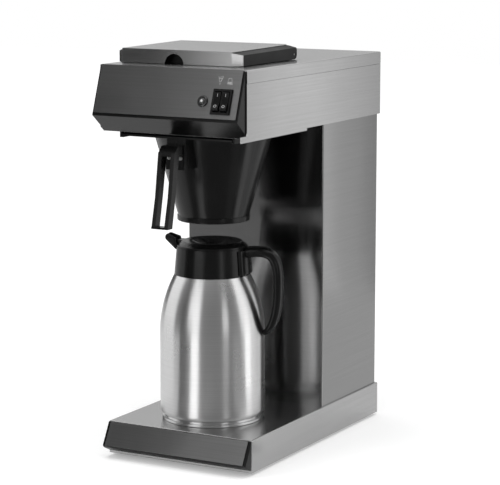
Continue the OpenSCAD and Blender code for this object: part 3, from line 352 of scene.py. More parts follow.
@dataclass(frozen=True)
class Glass(Finish):
    """Frosted lamp glass."""

    clearness: float = 0.25
    coat: float = 0.6

    FROST: ClassVar[Solid] = (700.0, 700.0, 700.0)
    FROST_DETAIL: ClassVar[float] = 2.0
    DARKEST: ClassVar[float] = 0.9
    ROUGHEST: ClassVar[float] = 1.6

    def make(self) -> Material:
        """Builds the material.

        Returns:
            The material.
        """
        shader = Shader(self.name)
        frost = shader.noise(self.FROST, self.FROST_DETAIL)
        shader.feed(shader.tint(frost, self.tone * self.DARKEST, self.tone), "Base Color")
        shader.feed(shader.spread(frost, self.roughness, self.roughness * self.ROUGHEST), "Roughness")
        shader.settle(Transmission_Weight=self.clearness, Coat_Weight=self.coat)
        return shader.material


FINISHES: dict[Slot, Finish] = {
    Slot.SATIN_STEEL: Steel("Satin steel", 0.52, 0.22, Grain.LEVEL, 0.035, 0.015, 0.85),
    Slot.POLISHED_STEEL: Steel("Polished steel", 0.33, 0.13, Grain.LEVEL, 0.03, 0.006, 0.9),
    Slot.SHEET_STEEL: Steel("Sheet steel", 0.46, 0.35, Grain.LEVEL, 0.05, 0.03),
    Slot.JUG_STEEL: Steel("Jug steel", 0.72, 0.3, Grain.AROUND, 0.035, 0.006, 0.9),
    Slot.SCREW_STEEL: Steel("Screw steel", 0.55, 0.3, Grain.NONE, 0.1, 0.02),
    Slot.LAMP_CHROME: Steel("Lamp chrome", 0.1, 0.14, Grain.NONE, 0.03, 0.0),
    Slot.LAMP_GLASS: Glass("Lamp glass", 0.06, 0.08),
    Slot.PANEL_GREY: Steel("Panel grey", 0.26, 0.36, Grain.LEVEL, 0.05, 0.01, 0.95),
    Slot.BLACK_GLOSS: Moulded("Black gloss", 0.004, 0.22, 0.04, 900.0, 0.3),
    Slot.BLACK_MATTE: Moulded("Black matte", 0.006, 0.42, 0.12, 900.0, 0.22),
    Slot.FOOT_RUBBER: Moulded("Foot rubber", 0.02, 0.7, 0.25, 500.0),
    Slot.HOSE_SILICONE: Moulded("Hose silicone", 0.6, 0.4, 0.05),
    Slot.WHITE_PLASTIC: Moulded("White plastic", 0.72, 0.4, 0.05),
    Slot.HEATER_ALUMINIUM: Steel("Heater aluminium", 0.6, 0.45, Grain.NONE, 0.12, 0.15),
    Slot.ELEMENT_STEEL: Steel("Element steel", 0.3, 0.4, Grain.NONE, 0.15, 0.05),
}
PRINT_INK = Moulded("Print ink", 0.34, 0.5, 0.02)


def at(x: float, y: float, z: float) -> Vector:
    """Turns a point of the drawing into a point of the frame."""
    return TO_FRAME @ Vector((x, y, z))


def link(obj: Object) -> Object:
    """Links an object to the scene."""
    bpy.context.scene.collection.objects.link(obj)
    return obj


def put(name: str, mesh: bpy.types.Mesh) -> Object:
    """Makes an object of a mesh and links it to the scene."""
    return link(bpy.data.objects.new(name, mesh))


def object_of(name: str, bm: Mesh) -> Object:
    """Makes an object of a mesh under construction as it is.

    Args:
        name: Name of the piece.
        bm: The mesh; it is freed.

    Returns:
        The object.
    """
    mesh = bpy.data.meshes.new(name)
    bm.to_mesh(mesh)
    bm.free()
    return put(name, mesh)


def smooth(mesh: bpy.types.Mesh, degrees: float = SHARP) -> None:
    """Shades a mesh smooth, with sharp edges where its faces meet at more than an angle."""
    mesh.shade_smooth()
    mesh.set_sharp_from_angle(angle=math.radians(degrees))


def form(name: str, bm: Mesh, place: Matrix) -> Object:
    """Makes an object of a mesh under construction, with no doubles and all normals outwards.

    Args:
        name: Name of the piece.
        bm: The mesh; it is freed.
        place: Where the mesh goes in the frame.

    Returns:
        The object, at the origin and smooth.
    """
    bm.transform(place)
    bmesh.ops.remove_doubles(bm, verts=bm.verts, dist=SAME_POINT)
    bmesh.ops.dissolve_degenerate(bm, dist=NO_LENGTH, edges=bm.edges)
    bmesh.ops.recalc_face_normals(bm, faces=bm.faces)
    obj = object_of(name, bm)
    smooth(obj.data)
    return obj


def settle(obj: Object) -> Object:
    """Turns an object's modifiers into its mesh.

    Args:
        obj: The object.

    Returns:
        The same object.
    """
    graph = bpy.context.evaluated_depsgraph_get()
    mesh = bpy.data.meshes.new_from_object(obj.evaluated_get(graph))
    obj.modifiers.clear()
    obj.data = mesh
    mesh.name = obj.name
    return obj


def levelled(obj: Object) -> Object:
    """Settles an object with flat shading on its flat faces, beside rounded edges too."""
    obj.modifiers.new("Flat faces", "WEIGHTED_NORMAL").keep_sharp = True
    return settle(obj)


def rounded(obj: Object, radius: float) -> Object:
    """Rounds the sharp edges of an object.

    Args:
        obj: Object to round.
        radius: Radius in millimetres.

    Returns:
        The same object.
    """
    bevel = obj.modifiers.new("Rounded edges", "BEVEL")
    bevel.width = radius * MM
    bevel.segments = EDGE_STEPS
    bevel.limit_method = "ANGLE"
    bevel.angle_limit = math.radians(SHARP)
    smooth(levelled(obj).data, ROUNDED_SHARP)
    return levelled(obj)


def thickened(obj: Object, sheet: float, even: bool) -> Object:
    """Gives an open surface the thickness of a sheet, inwards.

    Args:
        obj: The surface.
        sheet: Thickness of the sheet in millimetres.
        even: Whether the thickness is kept at bends.

    Returns:
        The same object.
    """
    wall = obj.modifiers.new("Sheet", "SOLIDIFY")
    wall.thickness = sheet * MM
    wall.offset = -1.0
    wall.use_even_offset = even
    return settle(obj)


def folded(name: str, panels: Sequence[Sequence[Solid]], bend: float, sheet: float) -> Object:
    """Folds a sheet-metal piece.

    Args:
        name: Name of the piece.
        panels: Outer faces of the sheet, each counted anticlockwise seen from outside.
        bend: Outer radius of the bends in millimetres.
        sheet: Thickness of the sheet in millimetres.

    Returns:
        The piece.
    """
    bm = bmesh.new()
    for panel in panels:
        bm.faces.new([bm.verts.new(corner) for corner in panel])
    bmesh.ops.remove_doubles(bm, verts=bm.verts, dist=SAME_CORNER)
    bends = [e for e in bm.edges if len(e.link_faces) == 2 and e.calc_face_angle() > LEAST_BEND]
    bmesh.ops.bevel(
        bm, geom=bends, affect="EDGES", offset=bend, segments=BEND_STEPS, profile=BEND_PROFILE,
        clamp_overlap=True,
    )
    bm.transform(TO_FRAME)
    obj = thickened(object_of(name, bm), sheet, even=True)
    smooth(obj.data, FOLDED_SHARP)
    return levelled(obj)


def softened(corners: Sequence[Solid], steps: int = 5) -> list[Flat]:
    """Rounds the corners of a closed outline.

    Args:
        corners: Corners of the outline, each with the setback of its curve, 0 for a sharp one.
        steps: Number of steps across a corner.

    Returns:
        The rounded outline.
    """
    points: list[Flat] = []
    spots = [Vector(corner[:2]) for corner in corners]
    for i, corner in enumerate(spots):
        setback = corners[i][2]
        if not setback:
            points.append(tuple(corner))
            continue
        before = spots[i - 1] - corner
        after = spots[(i + 1) % len(spots)] - corner
        start = corner + before.normalized() * min(setback, before.length * MOST_SETBACK)
        end = corner + after.normalized() * min(setback, after.length * MOST_SETBACK)
        for step in range(steps + 1):
            t = step / steps
            points.append(tuple(start * (1 - t) ** 2 + corner * 2 * t * (1 - t) + end * t * t))
    return points


def arc(centre: Flat, radius: float, start: float, end: float, steps: int) -> list[Flat]:
    """Points of an arc, with its angles in degrees."""
    turns = [math.radians(start + (end - start) * i / steps) for i in range(steps + 1)]
    return [(centre[0] + radius * math.cos(a), centre[1] + radius * math.sin(a)) for a in turns]


def lathe(outline: Sequence[Flat], segments: int) -> Mesh:
    """Turns a closed outline of radius and height about the z axis.

    Args:
        outline: Points as radius and height in millimetres.
        segments: Number of steps around.

    Returns:
        The mesh under construction.
    """
    bm = bmesh.new()
    turns = [2 * math.pi * i / segments for i in range(segments)]
    rings = [[bm.verts.new((r * math.cos(a), r * math.sin(a), z)) for r, z in outline] for a in turns]
    count = len(outline)
    for i, ring in enumerate(rings):
        other = rings[(i + 1) % segments]
        for j in range(count):
            k = (j + 1) % count
            if outline[j][0] or outline[k][0]:
                bm.faces.new((ring[j], ring[k], other[k], other[j]))
    return bm


def sweep(sections: Sequence[Sequence[Vector]]) -> Mesh:
    """Skins a row of sections and closes its ends.

    Args:
        sections: Points of each section, as many in each.

    Returns:
        The mesh under construction.
    """
    bm = bmesh.new()
    rings = [[bm.verts.new(p) for p in section] for section in sections]
    count = len(rings[0])
    for ring, other in zip(rings, rings[1:]):
        for j in range(count):
            k = (j + 1) % count
            bm.faces.new((ring[j], ring[k], other[k], other[j]))
    bm.faces.new(rings[0])
    bm.faces.new(rings[-1])
    return bm


def ribbon(path: Sequence[Flat], width: float, height: float, closed: bool = False) -> Mesh:
    """Raised line of a printed mark in the plane of x and y.

    Args:
        path: Points of the line.
        width: Width of the line in millimetres.
        height: Height of the line in millimetres.
        closed: Whether the line runs back to its start.

    Returns:
        The mesh under construction.
    """
    count = len(path)
    sections = []
    for i in range(count + int(closed)):
        here = Vector(path[i % count])
        before = Vector(path[(i - 1) % count]) if closed or i else here
        after = Vector(path[(i + 1) % count]) if closed or i < count - 1 else here
        along = (after - before).normalized()
        side = Vector((-along.y, along.x)) * width / 2
        low, high = here - side, here + side
        sections.append([
            Vector((low.x, low.y, 0.0)), Vector((high.x, high.y, 0.0)),
            Vector((high.x, high.y, height)), Vector((low.x, low.y, height)),
        ])
    return sweep(sections)


def joined(parts: Sequence[Mesh]) -> Mesh:
    """Puts several meshes under construction into one.

    Args:
        parts: The meshes; they are freed.

    Returns:
        The one mesh.
    """
    whole = bmesh.new()
    for part in parts:
        mesh = bpy.data.meshes.new("part")
        part.to_mesh(mesh)
        part.free()
        whole.from_mesh(mesh)
        bpy.data.meshes.remove(mesh)
    return whole


class CopyTree:
    """Geometry nodes that set copies of a part on the points of their host, each turned a step further."""

    def __init__(self) -> None:
        """Builds the tree with its named inputs."""
        self.tree = bpy.data.node_groups.new("Copies on points", "GeometryNodeTree")
        self.add_socket("Places", "Geometry")
        self.part = self.add_socket("Part", "Object")
        self.step = self.add_socket("Turn per copy", "Float")
        self.finish = self.add_socket("Finish", "Material")
        self.add_socket("Copies", "Geometry", "OUTPUT")
        nodes, links = self.tree.nodes, self.tree.links
        given = nodes.new("NodeGroupInput").outputs
        source = nodes.new("GeometryNodeObjectInfo")
        turn = nodes.new("ShaderNodeMath")
        turn.operation = "MULTIPLY"
        angles = nodes.new("ShaderNodeCombineXYZ")
        rotation = nodes.new("FunctionNodeEulerToRotation")
        copies = nodes.new("GeometryNodeInstanceOnPoints")
        real = nodes.new("GeometryNodeRealizeInstances")
        skin = nodes.new("GeometryNodeSetMaterial")
        result = nodes.new("NodeGroupOutput").inputs
        links.new(given["Part"], source.inputs["Object"])
        links.new(nodes.new("GeometryNodeInputIndex").outputs["Index"], turn.inputs[0])
        links.new(given["Turn per copy"], turn.inputs[1])
        links.new(turn.outputs["Value"], angles.inputs["Z"])
        links.new(angles.outputs["Vector"], rotation.inputs["Euler"])
        links.new(given["Places"], copies.inputs["Points"])
        links.new(source.outputs["Geometry"], copies.inputs["Instance"])
        links.new(rotation.outputs["Rotation"], copies.inputs["Rotation"])
        links.new(copies.outputs["Instances"], real.inputs["Geometry"])
        links.new(real.outputs["Geometry"], skin.inputs["Geometry"])
        links.new(given["Finish"], skin.inputs["Material"])
        links.new(skin.outputs["Geometry"], result["Copies"])

    def add_socket(self, name: str, kind: str, way: str = "INPUT") -> str:
        """Adds a named socket to the tree.

        Args:
            name: Name of the socket.
            kind: Kind of its value.
            way: Whether it is an input or an output.

        Returns:
            The socket's identifier.
        """
        return self.tree.interface.new_socket(name, in_out=way, socket_type=f"NodeSocket{kind}").identifier

    def spread(
        self, name: str, part: Object, places: Sequence[Vector], slot: Slot, step: float = 0.0
    ) -> Object:
        """Sets copies of a part on points and makes one mesh of them.

        Args:
            name: Name of the piece.
            part: Object to copy; it is removed.
            places: Points in the frame.
            slot: Slot whose finish the copies take.
            step: Turn in radians about z from one copy to the next.

        Returns:
            The piece.
        """
        mesh = bpy.data.meshes.new(name)
        mesh.from_pydata([tuple(p) for p in places], [], [])
        host = put(name, mesh)
        copies = host.modifiers.new("Copies", "NODES")
        copies.node_group = self.tree
        copies[self.part] = part
        copies[self.step] = step
        copies[self.finish] = FINISHES[slot].material()
        settle(host)
        bpy.data.objects.remove(part)
        return host


COPIES = CopyTree()


def give_finish(obj: Object, finish: Finish) -> None:
    """Gives an object one finish all over."""
    obj.data.materials.clear()
    obj.data.materials.append(finish.material())


def dress(obj: Object, body: Body, slot: Slot, *nodes: str) -> Object:
    """Gives a piece its finish and its body, and hides the CAD nodes that it stands for.

    Args:
        obj: The piece.
        body: Body that it moves with.
        slot: Material slot of the record.
        nodes: CAD nodes that it stands for.

    Returns:
        The piece.
    """
    give_finish(obj, FINISHES[slot])
    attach(obj, body.value)
    if nodes:
        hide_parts(*nodes)
    return obj


def stand_in(node: str, name: str, edge: float, body: Body, slot: Slot) -> Object:
    """Copies a CAD node with rounded edges, and dresses the copy in the node's place.

    Args:
        node: Name of the node.
        name: Name of the piece.
        edge: Radius of the edges in millimetres.
        body: Body that it moves with.
        slot: Material slot of the record.

    Returns:
        The piece.
    """
    bm = bmesh.new()
    bm.from_mesh(frame["nodes"][node].data)
    bmesh.ops.remove_doubles(bm, verts=bm.verts, dist=SAME_NODE_POINT)
    bmesh.ops.dissolve_limit(bm, angle_limit=math.radians(FLAT_WITHIN), verts=bm.verts, edges=bm.edges)
    return dress(rounded(form(name, bm, Matrix.Identity(4)), edge), body, slot, node)


@dataclass(frozen=True)
class PanScrew:
    """Screw with a domed head and a cross recess; the shares are of the head's radius or height."""

    head_radius: float
    head_height: float
    shank_radius: float
    shank: float

    UNDER_EDGE: ClassVar[float] = 0.3
    WALL_SHARE: ClassVar[float] = 0.6
    WALL_SETBACK: ClassVar[float] = 0.3
    CROWN_SHARE: ClassVar[float] = 0.55
    CROWN_SETBACK: ClassVar[float] = 0.4
    ARM_SHARE: ClassVar[float] = 0.52
    ARM_HALF_SHARE: ClassVar[float] = 0.13
    RECESS_SHARES: ClassVar[Flat] = (0.35, 1.5)
    SEGMENTS: ClassVar[int] = 40

    def build(self, turn: float) -> Object:
        """Builds the screw.

        Args:
            turn: Turn in degrees about x, from a head that points along z.

        Returns:
            The screw, with the underside of its head at the origin.
        """
        r, h, shank = self.head_radius, self.head_height, self.shank_radius
        outline = softened([
            (0, -self.shank, 0), (shank, -self.shank, 0), (shank, 0, 0), (r, 0, self.UNDER_EDGE),
            (r, h * self.WALL_SHARE, r * self.WALL_SETBACK),
            (r * self.CROWN_SHARE, h, r * self.CROWN_SETBACK), (0, h, 0),
        ])
        screw = form("screw", lathe(outline, self.SEGMENTS), IN_METRES)
        recess = self.recess()
        drive = screw.modifiers.new("Recess", "BOOLEAN")
        drive.operation = "DIFFERENCE"
        drive.object = recess
        settle(screw)
        bpy.data.objects.remove(recess)
        smooth(screw.data)
        screw.data.transform(Matrix.Rotation(math.radians(turn), 4, "X"))
        return screw

    def recess(self) -> Object:
        """Cross that is cut into the head.

        Returns:
            The cross as a solid.
        """
        a, w = self.head_radius * self.ARM_SHARE, self.head_radius * self.ARM_HALF_SHARE
        quarter = [(a, w), (w, w), (w, a)]
        cross = [
            *quarter, *((-x, y) for x, y in reversed(quarter)),
            *((-x, -y) for x, y in quarter), *((x, -y) for x, y in reversed(quarter)),
        ]
        heights = [self.head_height * share for share in self.RECESS_SHARES]
        return form("recess", sweep([[Vector((x, y, z)) for x, y in cross] for z in heights]), IN_METRES)


@dataclass
class BaseUnit:
    """Base casing with its front trim and feet."""

    half_width: float = 102.5
    depth: float = 353.0
    foot: float = 4.0
    top: float = 45.0
    sheet: float = 1.2
    bend: float = 1.6
    trim_edge: float = 0.7
    plate_edge: float = 0.35
    pad_radius: float = 10.0
    pad_inset: float = 26.0
    pad_edge: float = 0.5
    pad_segments: int = 48
    dish: float = 0.8
    dish_share: float = 0.55
    dish_edge: float = 1.5
    sole_shares: Flat = (0.7, 0.92)
    sole_edges: Flat = (0.6, 0.9)
    stud_radius: float = 2.0
    stud_length: float = 4.0
    stud_edge: float = 0.3

    def build(self) -> list[Object]:
        """Builds and dresses the pieces of the base.

        Returns:
            The pieces.
        """
        return [
            dress(self.casing(), Body.HOUSING, Slot.SATIN_STEEL, "base_pan"),
            stand_in("base_front_trim", "trim_bar", self.trim_edge, Body.HOUSING, Slot.BLACK_GLOSS),
            stand_in("base_trim_face", "trim_plate", self.plate_edge, Body.HOUSING, Slot.PANEL_GREY),
            dress(self.pads(), Body.HOUSING, Slot.FOOT_RUBBER, "feet"),
        ]

    def casing(self) -> Object:
        """Folded pan that is open below.

        Returns:
            The piece.
        """
        x, y, low, top = self.half_width, self.depth, self.foot, self.top
        return folded("base_casing", [
            [(-x, 0, top), (x, 0, top), (x, y, top), (-x, y, top)],
            [(-x, 0, low), (x, 0, low), (x, 0, top), (-x, 0, top)],
            [(x, 0, low), (x, y, low), (x, y, top), (x, 0, top)],
            [(x, y, low), (-x, y, low), (-x, y, top), (x, y, top)],
            [(-x, y, low), (-x, 0, low), (-x, 0, top), (-x, y, top)],
        ], self.bend, self.sheet)

    def pads(self) -> Object:
        """Four rubber feet with a dished underside.

        Returns:
            The piece.
        """
        r, h, dish, stud = self.pad_radius, self.foot, self.dish, self.stud_radius
        end = h + self.stud_length
        outline = softened([
            (0, dish, 0),
            (r * self.dish_share, dish, self.dish_edge),
            *((r * share, 0, edge) for share, edge in zip(self.sole_shares, self.sole_edges)),
            (r, h, self.pad_edge),
            (stud, h, 0),
            (stud, end, self.stud_edge),
            (0, end, 0),
        ])
        pad = form("pad", lathe(outline, self.pad_segments), IN_METRES)
        x = self.half_width - self.pad_inset
        ends = (self.pad_inset, self.depth - self.pad_inset)
        places = [at(side * x, y, 0) for side in (-1, 1) for y in ends]
        return COPIES.spread("rubber_feet", pad, places, Slot.FOOT_RUBBER)


@dataclass
class Column:
    """Column casing with its back cover, louvres, screws and cord gland."""

    half_width: float = 99.5
    front: float = 193.0
    back: float = 350.0
    low: float = 45.0
    top: float = 411.0
    flange: float = 14.0
    sheet: float = 1.2
    bend: float = 1.8
    cover_edge: float = 0.3
    gland_edge: float = 0.9
    louvre_count: int = 9
    louvre_pitch: float = 9.0
    louvre_low: float = 235.0
    louvre_height: float = 4.0
    louvre_half: float = 45.0
    hood_lap: float = 2.0
    hood_rise: float = 1.6
    hood_taper: float = 9.0
    hood_reach: float = 3.2
    hood_end: float = 0.05
    hood_sheet: float = 0.7
    hood_grid: tuple[int, int] = (48, 8)
    screw: PanScrew = PanScrew(4.0, 2.4, 2.0, 9.0)
    screw_turn: float = -90.0
    screw_rows: Solid = (67.0, 228.0, 389.0)
    screw_inset: float = 7.0

    def build(self) -> list[Object]:
        """Builds and dresses the pieces of the column.

        Returns:
            The pieces.
        """
        return [
            dress(self.casing(), Body.HOUSING, Slot.POLISHED_STEEL, "column_shell"),
            stand_in("column_back_cover", "back_cover", self.cover_edge, Body.HOUSING, Slot.SHEET_STEEL),
            dress(self.louvres(), Body.HOUSING, Slot.SHEET_STEEL),
            dress(self.screws(), Body.HOUSING, Slot.SCREW_STEEL, "back_cover_screws"),
            stand_in("inlet_gland", "cord_gland", self.gland_edge, Body.HOUSING, Slot.BLACK_MATTE),
        ]

    def casing(self) -> Object:
        """Front and sides in one sheet, with flanges for the back cover.

        Returns:
            The piece.
        """
        x, f, b, low, top = self.half_width, self.front, self.back, self.low, self.top
        inner = x - self.flange
        return folded("column_casing", [
            [(-x, f, low), (x, f, low), (x, f, top), (-x, f, top)],
            [(x, f, low), (x, b, low), (x, b, top), (x, f, top)],
            [(-x, b, low), (-x, f, low), (-x, f, top), (-x, b, top)],
            [(x, b, low), (inner, b, low), (inner, b, top), (x, b, top)],
            [(-inner, b, low), (-x, b, low), (-x, b, top), (-inner, b, top)],
        ], self.bend, self.sheet)

    def hood(self) -> Object:
        """Pressed hood of one vent, open at its lower edge and rounded off at its ends.

        Returns:
            The hood, with its back on the plane of x and z and its lower edge at the origin's height.
        """
        half, taper = self.louvre_half + self.hood_lap, self.hood_taper
        height = self.louvre_height + self.hood_rise
        columns, rows = self.hood_grid
        turns = [math.pi / 2 * j / rows for j in range(rows + 1)]
        bm = bmesh.new()
        grid = []
        for i in range(columns + 1):
            x = -half + 2 * half * i / columns
            fade = max(0.0, (abs(x) - half + taper) / taper)
            reach = self.hood_reach * math.sqrt(max(0.0, 1 - fade * fade)) + self.hood_end
            grid.append([bm.verts.new((x, reach * math.sin(a), height * math.cos(a))) for a in turns])
        for left, right in zip(grid, grid[1:]):
            for j in range(rows):
                bm.faces.new((left[j], right[j], right[j + 1], left[j + 1]))
        bm.transform(IN_METRES)
        bmesh.ops.recalc_face_normals(bm, faces=bm.faces)
        hood = thickened(object_of("hood", bm), self.hood_sheet, even=False)
        smooth(hood.data, HOOD_SHARP)
        return hood

    def louvres(self) -> Object:
        """Hoods over all the vents.

        Returns:
            The piece.
        """
        face, low = self.back + self.sheet, self.louvre_low - self.hood_rise / 2
        places = [at(0, face, low + row * self.louvre_pitch) for row in range(self.louvre_count)]
        return COPIES.spread("louvre_hoods", self.hood(), places, Slot.SHEET_STEEL)

    def screws(self) -> Object:
        """Screws of the back cover.

        Returns:
            The piece.
        """
        x, face = self.half_width - self.screw_inset, self.back + self.sheet
        places = [at(side * x, face, z) for side in (-1, 1) for z in self.screw_rows]
        return COPIES.spread("cover_screws", self.screw.build(self.screw_turn), places, Slot.SCREW_STEEL)


@dataclass
class Head:
    """Head casing, top cover, nose, basket rails and what sits on top of the cover."""

    half_width: float = 102.5
    front: float = -11.0
    cover_front: float = -10.5
    back: float = 353.0
    low: float = 411.0
    seam: float = 477.0
    seam_gap: float = 0.3
    top: float = 493.0
    apron_low: float = 408.0
    apron_back: float = 141.5
    return_back: float = -4.0
    return_top: float = 416.43
    tab_front: float = -25.0
    tab_top: float = 415.5
    fill_x: Flat = (-75.5, 47.0)
    fill_y: Flat = (50.0, 144.8)
    sheet: float = 1.2
    bend: float = 2.0
    nose_edge: float = 0.9
    rail_edge: float = 0.5
    rim_edge: float = 0.5
    bracket_edge: float = 0.4

    def build(self) -> list[Object]:
        """Builds and dresses the pieces of the head.

        Returns:
            The pieces.
        """
        house, matte = Body.HOUSING, Slot.BLACK_MATTE
        return [
            dress(self.casing(), house, Slot.SATIN_STEEL, "head_shell"),
            dress(self.cover(), house, Slot.SATIN_STEEL, "head_top_cover"),
            stand_in("fascia_nose", "nose_moulding", self.nose_edge, house, Slot.BLACK_GLOSS),
            stand_in("filter_rails", "basket_rails", self.rail_edge, house, matte),
            stand_in("fill_collar", "fill_rim", self.rim_edge, house, matte),
            stand_in("lid_hinge_brackets", "hinge_brackets", self.bracket_edge, house, matte),
        ]

    def casing(self) -> Object:
        """Side and back walls; the left wall follows the nose, the right has an apron and a tab under it.

        Returns:
            The piece.
        """
        x, f, b, low, top = self.half_width, self.front, self.back, self.low, self.seam - self.seam_gap
        right = [
            (self.tab_front, self.apron_low), (self.apron_back, self.apron_low), (self.apron_back, low),
            (b, low), (b, top), (f, top), (f, self.tab_top), (self.tab_front, self.tab_top),
        ]
        left = [(b, low), (self.return_back, low), (f, self.return_top), (f, top), (b, top)]
        return folded("head_casing", [
            [(x, y, z) for y, z in right],
            [(x, b, low), (-x, b, low), (-x, b, top), (x, b, top)],
            [(-x, y, z) for y, z in left],
        ], self.bend, self.sheet)

    def cover(self) -> Object:
        """Top with its skirts and the opening that the fill lid closes.

        Returns:
            The piece.
        """
        x, f, b, low, top = self.half_width, self.cover_front, self.back, self.seam, self.top
        (left, right), (near, far) = self.fill_x, self.fill_y
        return folded("top_cover", [
            [(-x, f, top), (x, f, top), (right, near, top), (left, near, top)],
            [(x, f, top), (x, b, top), (right, far, top), (right, near, top)],
            [(x, b, top), (-x, b, top), (left, far, top), (right, far, top)],
            [(-x, b, top), (-x, f, top), (left, near, top), (left, far, top)],
            [(x, f, low), (x, b, low), (x, b, top), (x, f, top)],
            [(x, b, low), (-x, b, low), (-x, b, top), (x, b, top)],
            [(-x, b, low), (-x, f, low), (-x, f, top), (-x, b, top)],
        ], self.bend, self.sheet)


@dataclass
class ControlPanel:
    """Slanted panel with the twin switch, its printed marks and the pilot lamp, with a white dome in the
    lens that paints the lamp's glint.
    """

    low_y: float = -33.0
    low_z: float = 433.0
    slope: float = 70.71
    rise: float = 24.0
    panel_edge: float = 0.35
    bezel_edge: float = 0.4
    rocker_edge: float = 0.5
    rocker_x: Flat = (71.0, 82.0)
    pivot: float = -2.0
    tip: float = -8.0
    crest: float = 4.4
    horn: float = 7.2
    half_length: float = 12.4
    lamp_x: float = 50.6
    lamp_segments: int = 64
    ring_outer: float = 7.0
    ring_bore: float = 4.55
    ring_height: float = 2.0
    ring_wall: float = 1.0
    ring_edges: Solid = (0.5, 0.8, 0.4)
    barrel_radius: float = 5.0
    barrel_length: float = 15.0
    lens_radius: float = 4.4
    lens_heights: Solid = (-6.0, 1.0, 3.0)
    # White dome in the lens that paints the lamp's glint: its radius, and its foot, dome edge and crest out
    # of the panel
    glint_radius: float = 1.6
    glint_heights: Solid = (2.2, 2.75, 3.2)
    dome_steps: int = 12
    mark_rise: float = 49.5
    mark_line: float = 0.9
    mark_height: float = 0.08
    mark_shift: float = 1.0
    cone_sign: tuple[Flat, ...] = ((-3.4, 5.6), (3.4, 5.6), (1.0, -0.6), (-1.0, -0.6))
    paper_sign: tuple[Flat, ...] = ((-2.3, 3.4), (2.3, 3.4))
    drop_sign: tuple[Flat, ...] = ((0.0, -2.0), (0.0, -4.6))
    jug_sign: tuple[Flat, ...] = ((-3.8, -4.0), (-1.9, 3.6), (1.9, 3.6), (3.8, -4.0))
    fill_rows: int = 3
    fill_start: Flat = (2.9, -1.0)
    fill_step: Flat = (0.25, -1.0)
    bar_half: float = 1.8
    bar_line: float = 0.7
    circle_radius: float = 1.6
    circle_line: float = 0.6
    circle_points: int = 24
    rocker_mark_y: float = 7.0

    def build(self) -> list[Object]:
        """Builds and dresses the pieces of the panel.

        Returns:
            The pieces.
        """
        house = Body.HOUSING
        lens = self.lamp_dome("pilot_lens", self.lens_radius, self.lens_heights)
        # White dome in the middle of the lens: a painted glint, not a part of the real lamp
        glint_dot = self.lamp_dome("pilot_core", self.glint_radius, self.glint_heights)
        pieces = [
            stand_in("control_panel", "panel_plate", self.panel_edge, house, Slot.PANEL_GREY),
            stand_in("switch_bezel", "switch_frame", self.bezel_edge, house, Slot.BLACK_MATTE),
            dress(self.lamp_ring(), house, Slot.LAMP_CHROME, "lamp_ring"),
            dress(lens, house, Slot.LAMP_GLASS, "lamp_lens"),
            dress(glint_dot, house, Slot.WHITE_PLASTIC),
            self.inked(self.marks(), house, Slot.PANEL_GREY),
        ]
        for body, x in zip((Body.ROCKER_POWER, Body.ROCKER_WARM), self.rocker_x):
            name = body.value
            pieces.append(stand_in(name, f"{name}_key", self.rocker_edge, body, Slot.BLACK_GLOSS))
            # Printed bar and ring; the ring on the lower half also paints the rocker's glint
            pieces.append(self.inked(self.rocker_marks_and_glint(f"{name}_marks", x), body, Slot.BLACK_GLOSS))
        return pieces

    @staticmethod
    def inked(obj: Object, body: Body, slot: Slot) -> Object:
        """Dresses a printed mark and gives it its ink.

        Args:
            obj: The mark.
            body: Body that it moves with.
            slot: Material slot of what it is printed on.

        Returns:
            The mark.
        """
        dress(obj, body, slot)
        give_finish(obj, PRINT_INK)
        return obj

    def on_panel(self, x: float) -> Matrix:
        """Place on the panel at the height of the controls, with z out of the panel.

        Args:
            x: Distance from the middle of the panel.

        Returns:
            The place in the frame.
        """
        foot = Matrix.Translation((0.0, self.low_y, self.low_z))
        lean = Matrix.Rotation(math.radians(self.slope), 4, "X")
        return TO_FRAME @ (foot @ lean) @ Matrix.Translation((x, self.rise, 0.0))

    def lamp_ring(self) -> Object:
        """Chromed ring with a rolled edge.

        Returns:
            The piece.
        """
        outer, bore, barrel, foot = self.ring_outer, self.ring_bore, self.barrel_radius, -self.barrel_length
        wall, top = self.ring_wall, self.ring_height
        wall_edge, roll_edge, bore_edge = self.ring_edges
        outline = softened([
            (bore, foot, 0), (barrel, foot, 0), (barrel, 0, 0), (outer, 0, 0), (outer, wall, wall_edge),
            (outer - wall, top, roll_edge), (bore, top, bore_edge),
        ])
        return form("pilot_ring", lathe(outline, self.lamp_segments), self.on_panel(self.lamp_x))

    def lamp_dome(self, name: str, radius: float, heights: Solid) -> Object:
        """Round piece of the lamp with a domed end.

        Args:
            name: Name of the piece.
            radius: Its radius.
            heights: Its foot, the edge of its dome and the dome's crest, measured out of the panel.

        Returns:
            The piece.
        """
        foot, edge, crest = heights
        height = crest - edge
        ball = (radius * radius + height * height) / (2 * height)
        half = math.degrees(math.asin(radius / ball))
        dome = arc((0, crest - ball), ball, 90 - half, 90, self.dome_steps)
        outline = [(0, foot), (radius, foot), *dome[:-1], (0, crest)]
        return form(name, lathe(outline, self.lamp_segments), self.on_panel(self.lamp_x))

    def marks(self) -> Object:
        """Printed signs above the switches: a filter cone on the left and a jug on the right.

        Returns:
            The piece.
        """
        left, right = self.rocker_x
        middle = (left + right) / 2
        cone_x, jug_x = left - self.mark_shift, right + self.mark_shift
        (half, top), (wider, lower) = self.fill_start, self.fill_step
        fill = [
            [(side * (half + wider * k), top + lower * k) for side in (-1, 1)] for k in range(self.fill_rows)
        ]
        strokes = [
            (cone_x, self.cone_sign, True),
            (cone_x, self.paper_sign, False),
            (cone_x, self.drop_sign, False),
            (jug_x, self.jug_sign, True),
            *((jug_x, row, False) for row in fill),
        ]
        lift = self.mark_rise - self.rise
        parts = []
        for place, path, closed in strokes:
            points = [(x + place - middle, y + lift) for x, y in path]
            parts.append(ribbon(points, self.mark_line, self.mark_height, closed))
        return form("panel_marks", joined(parts), self.on_panel(middle))

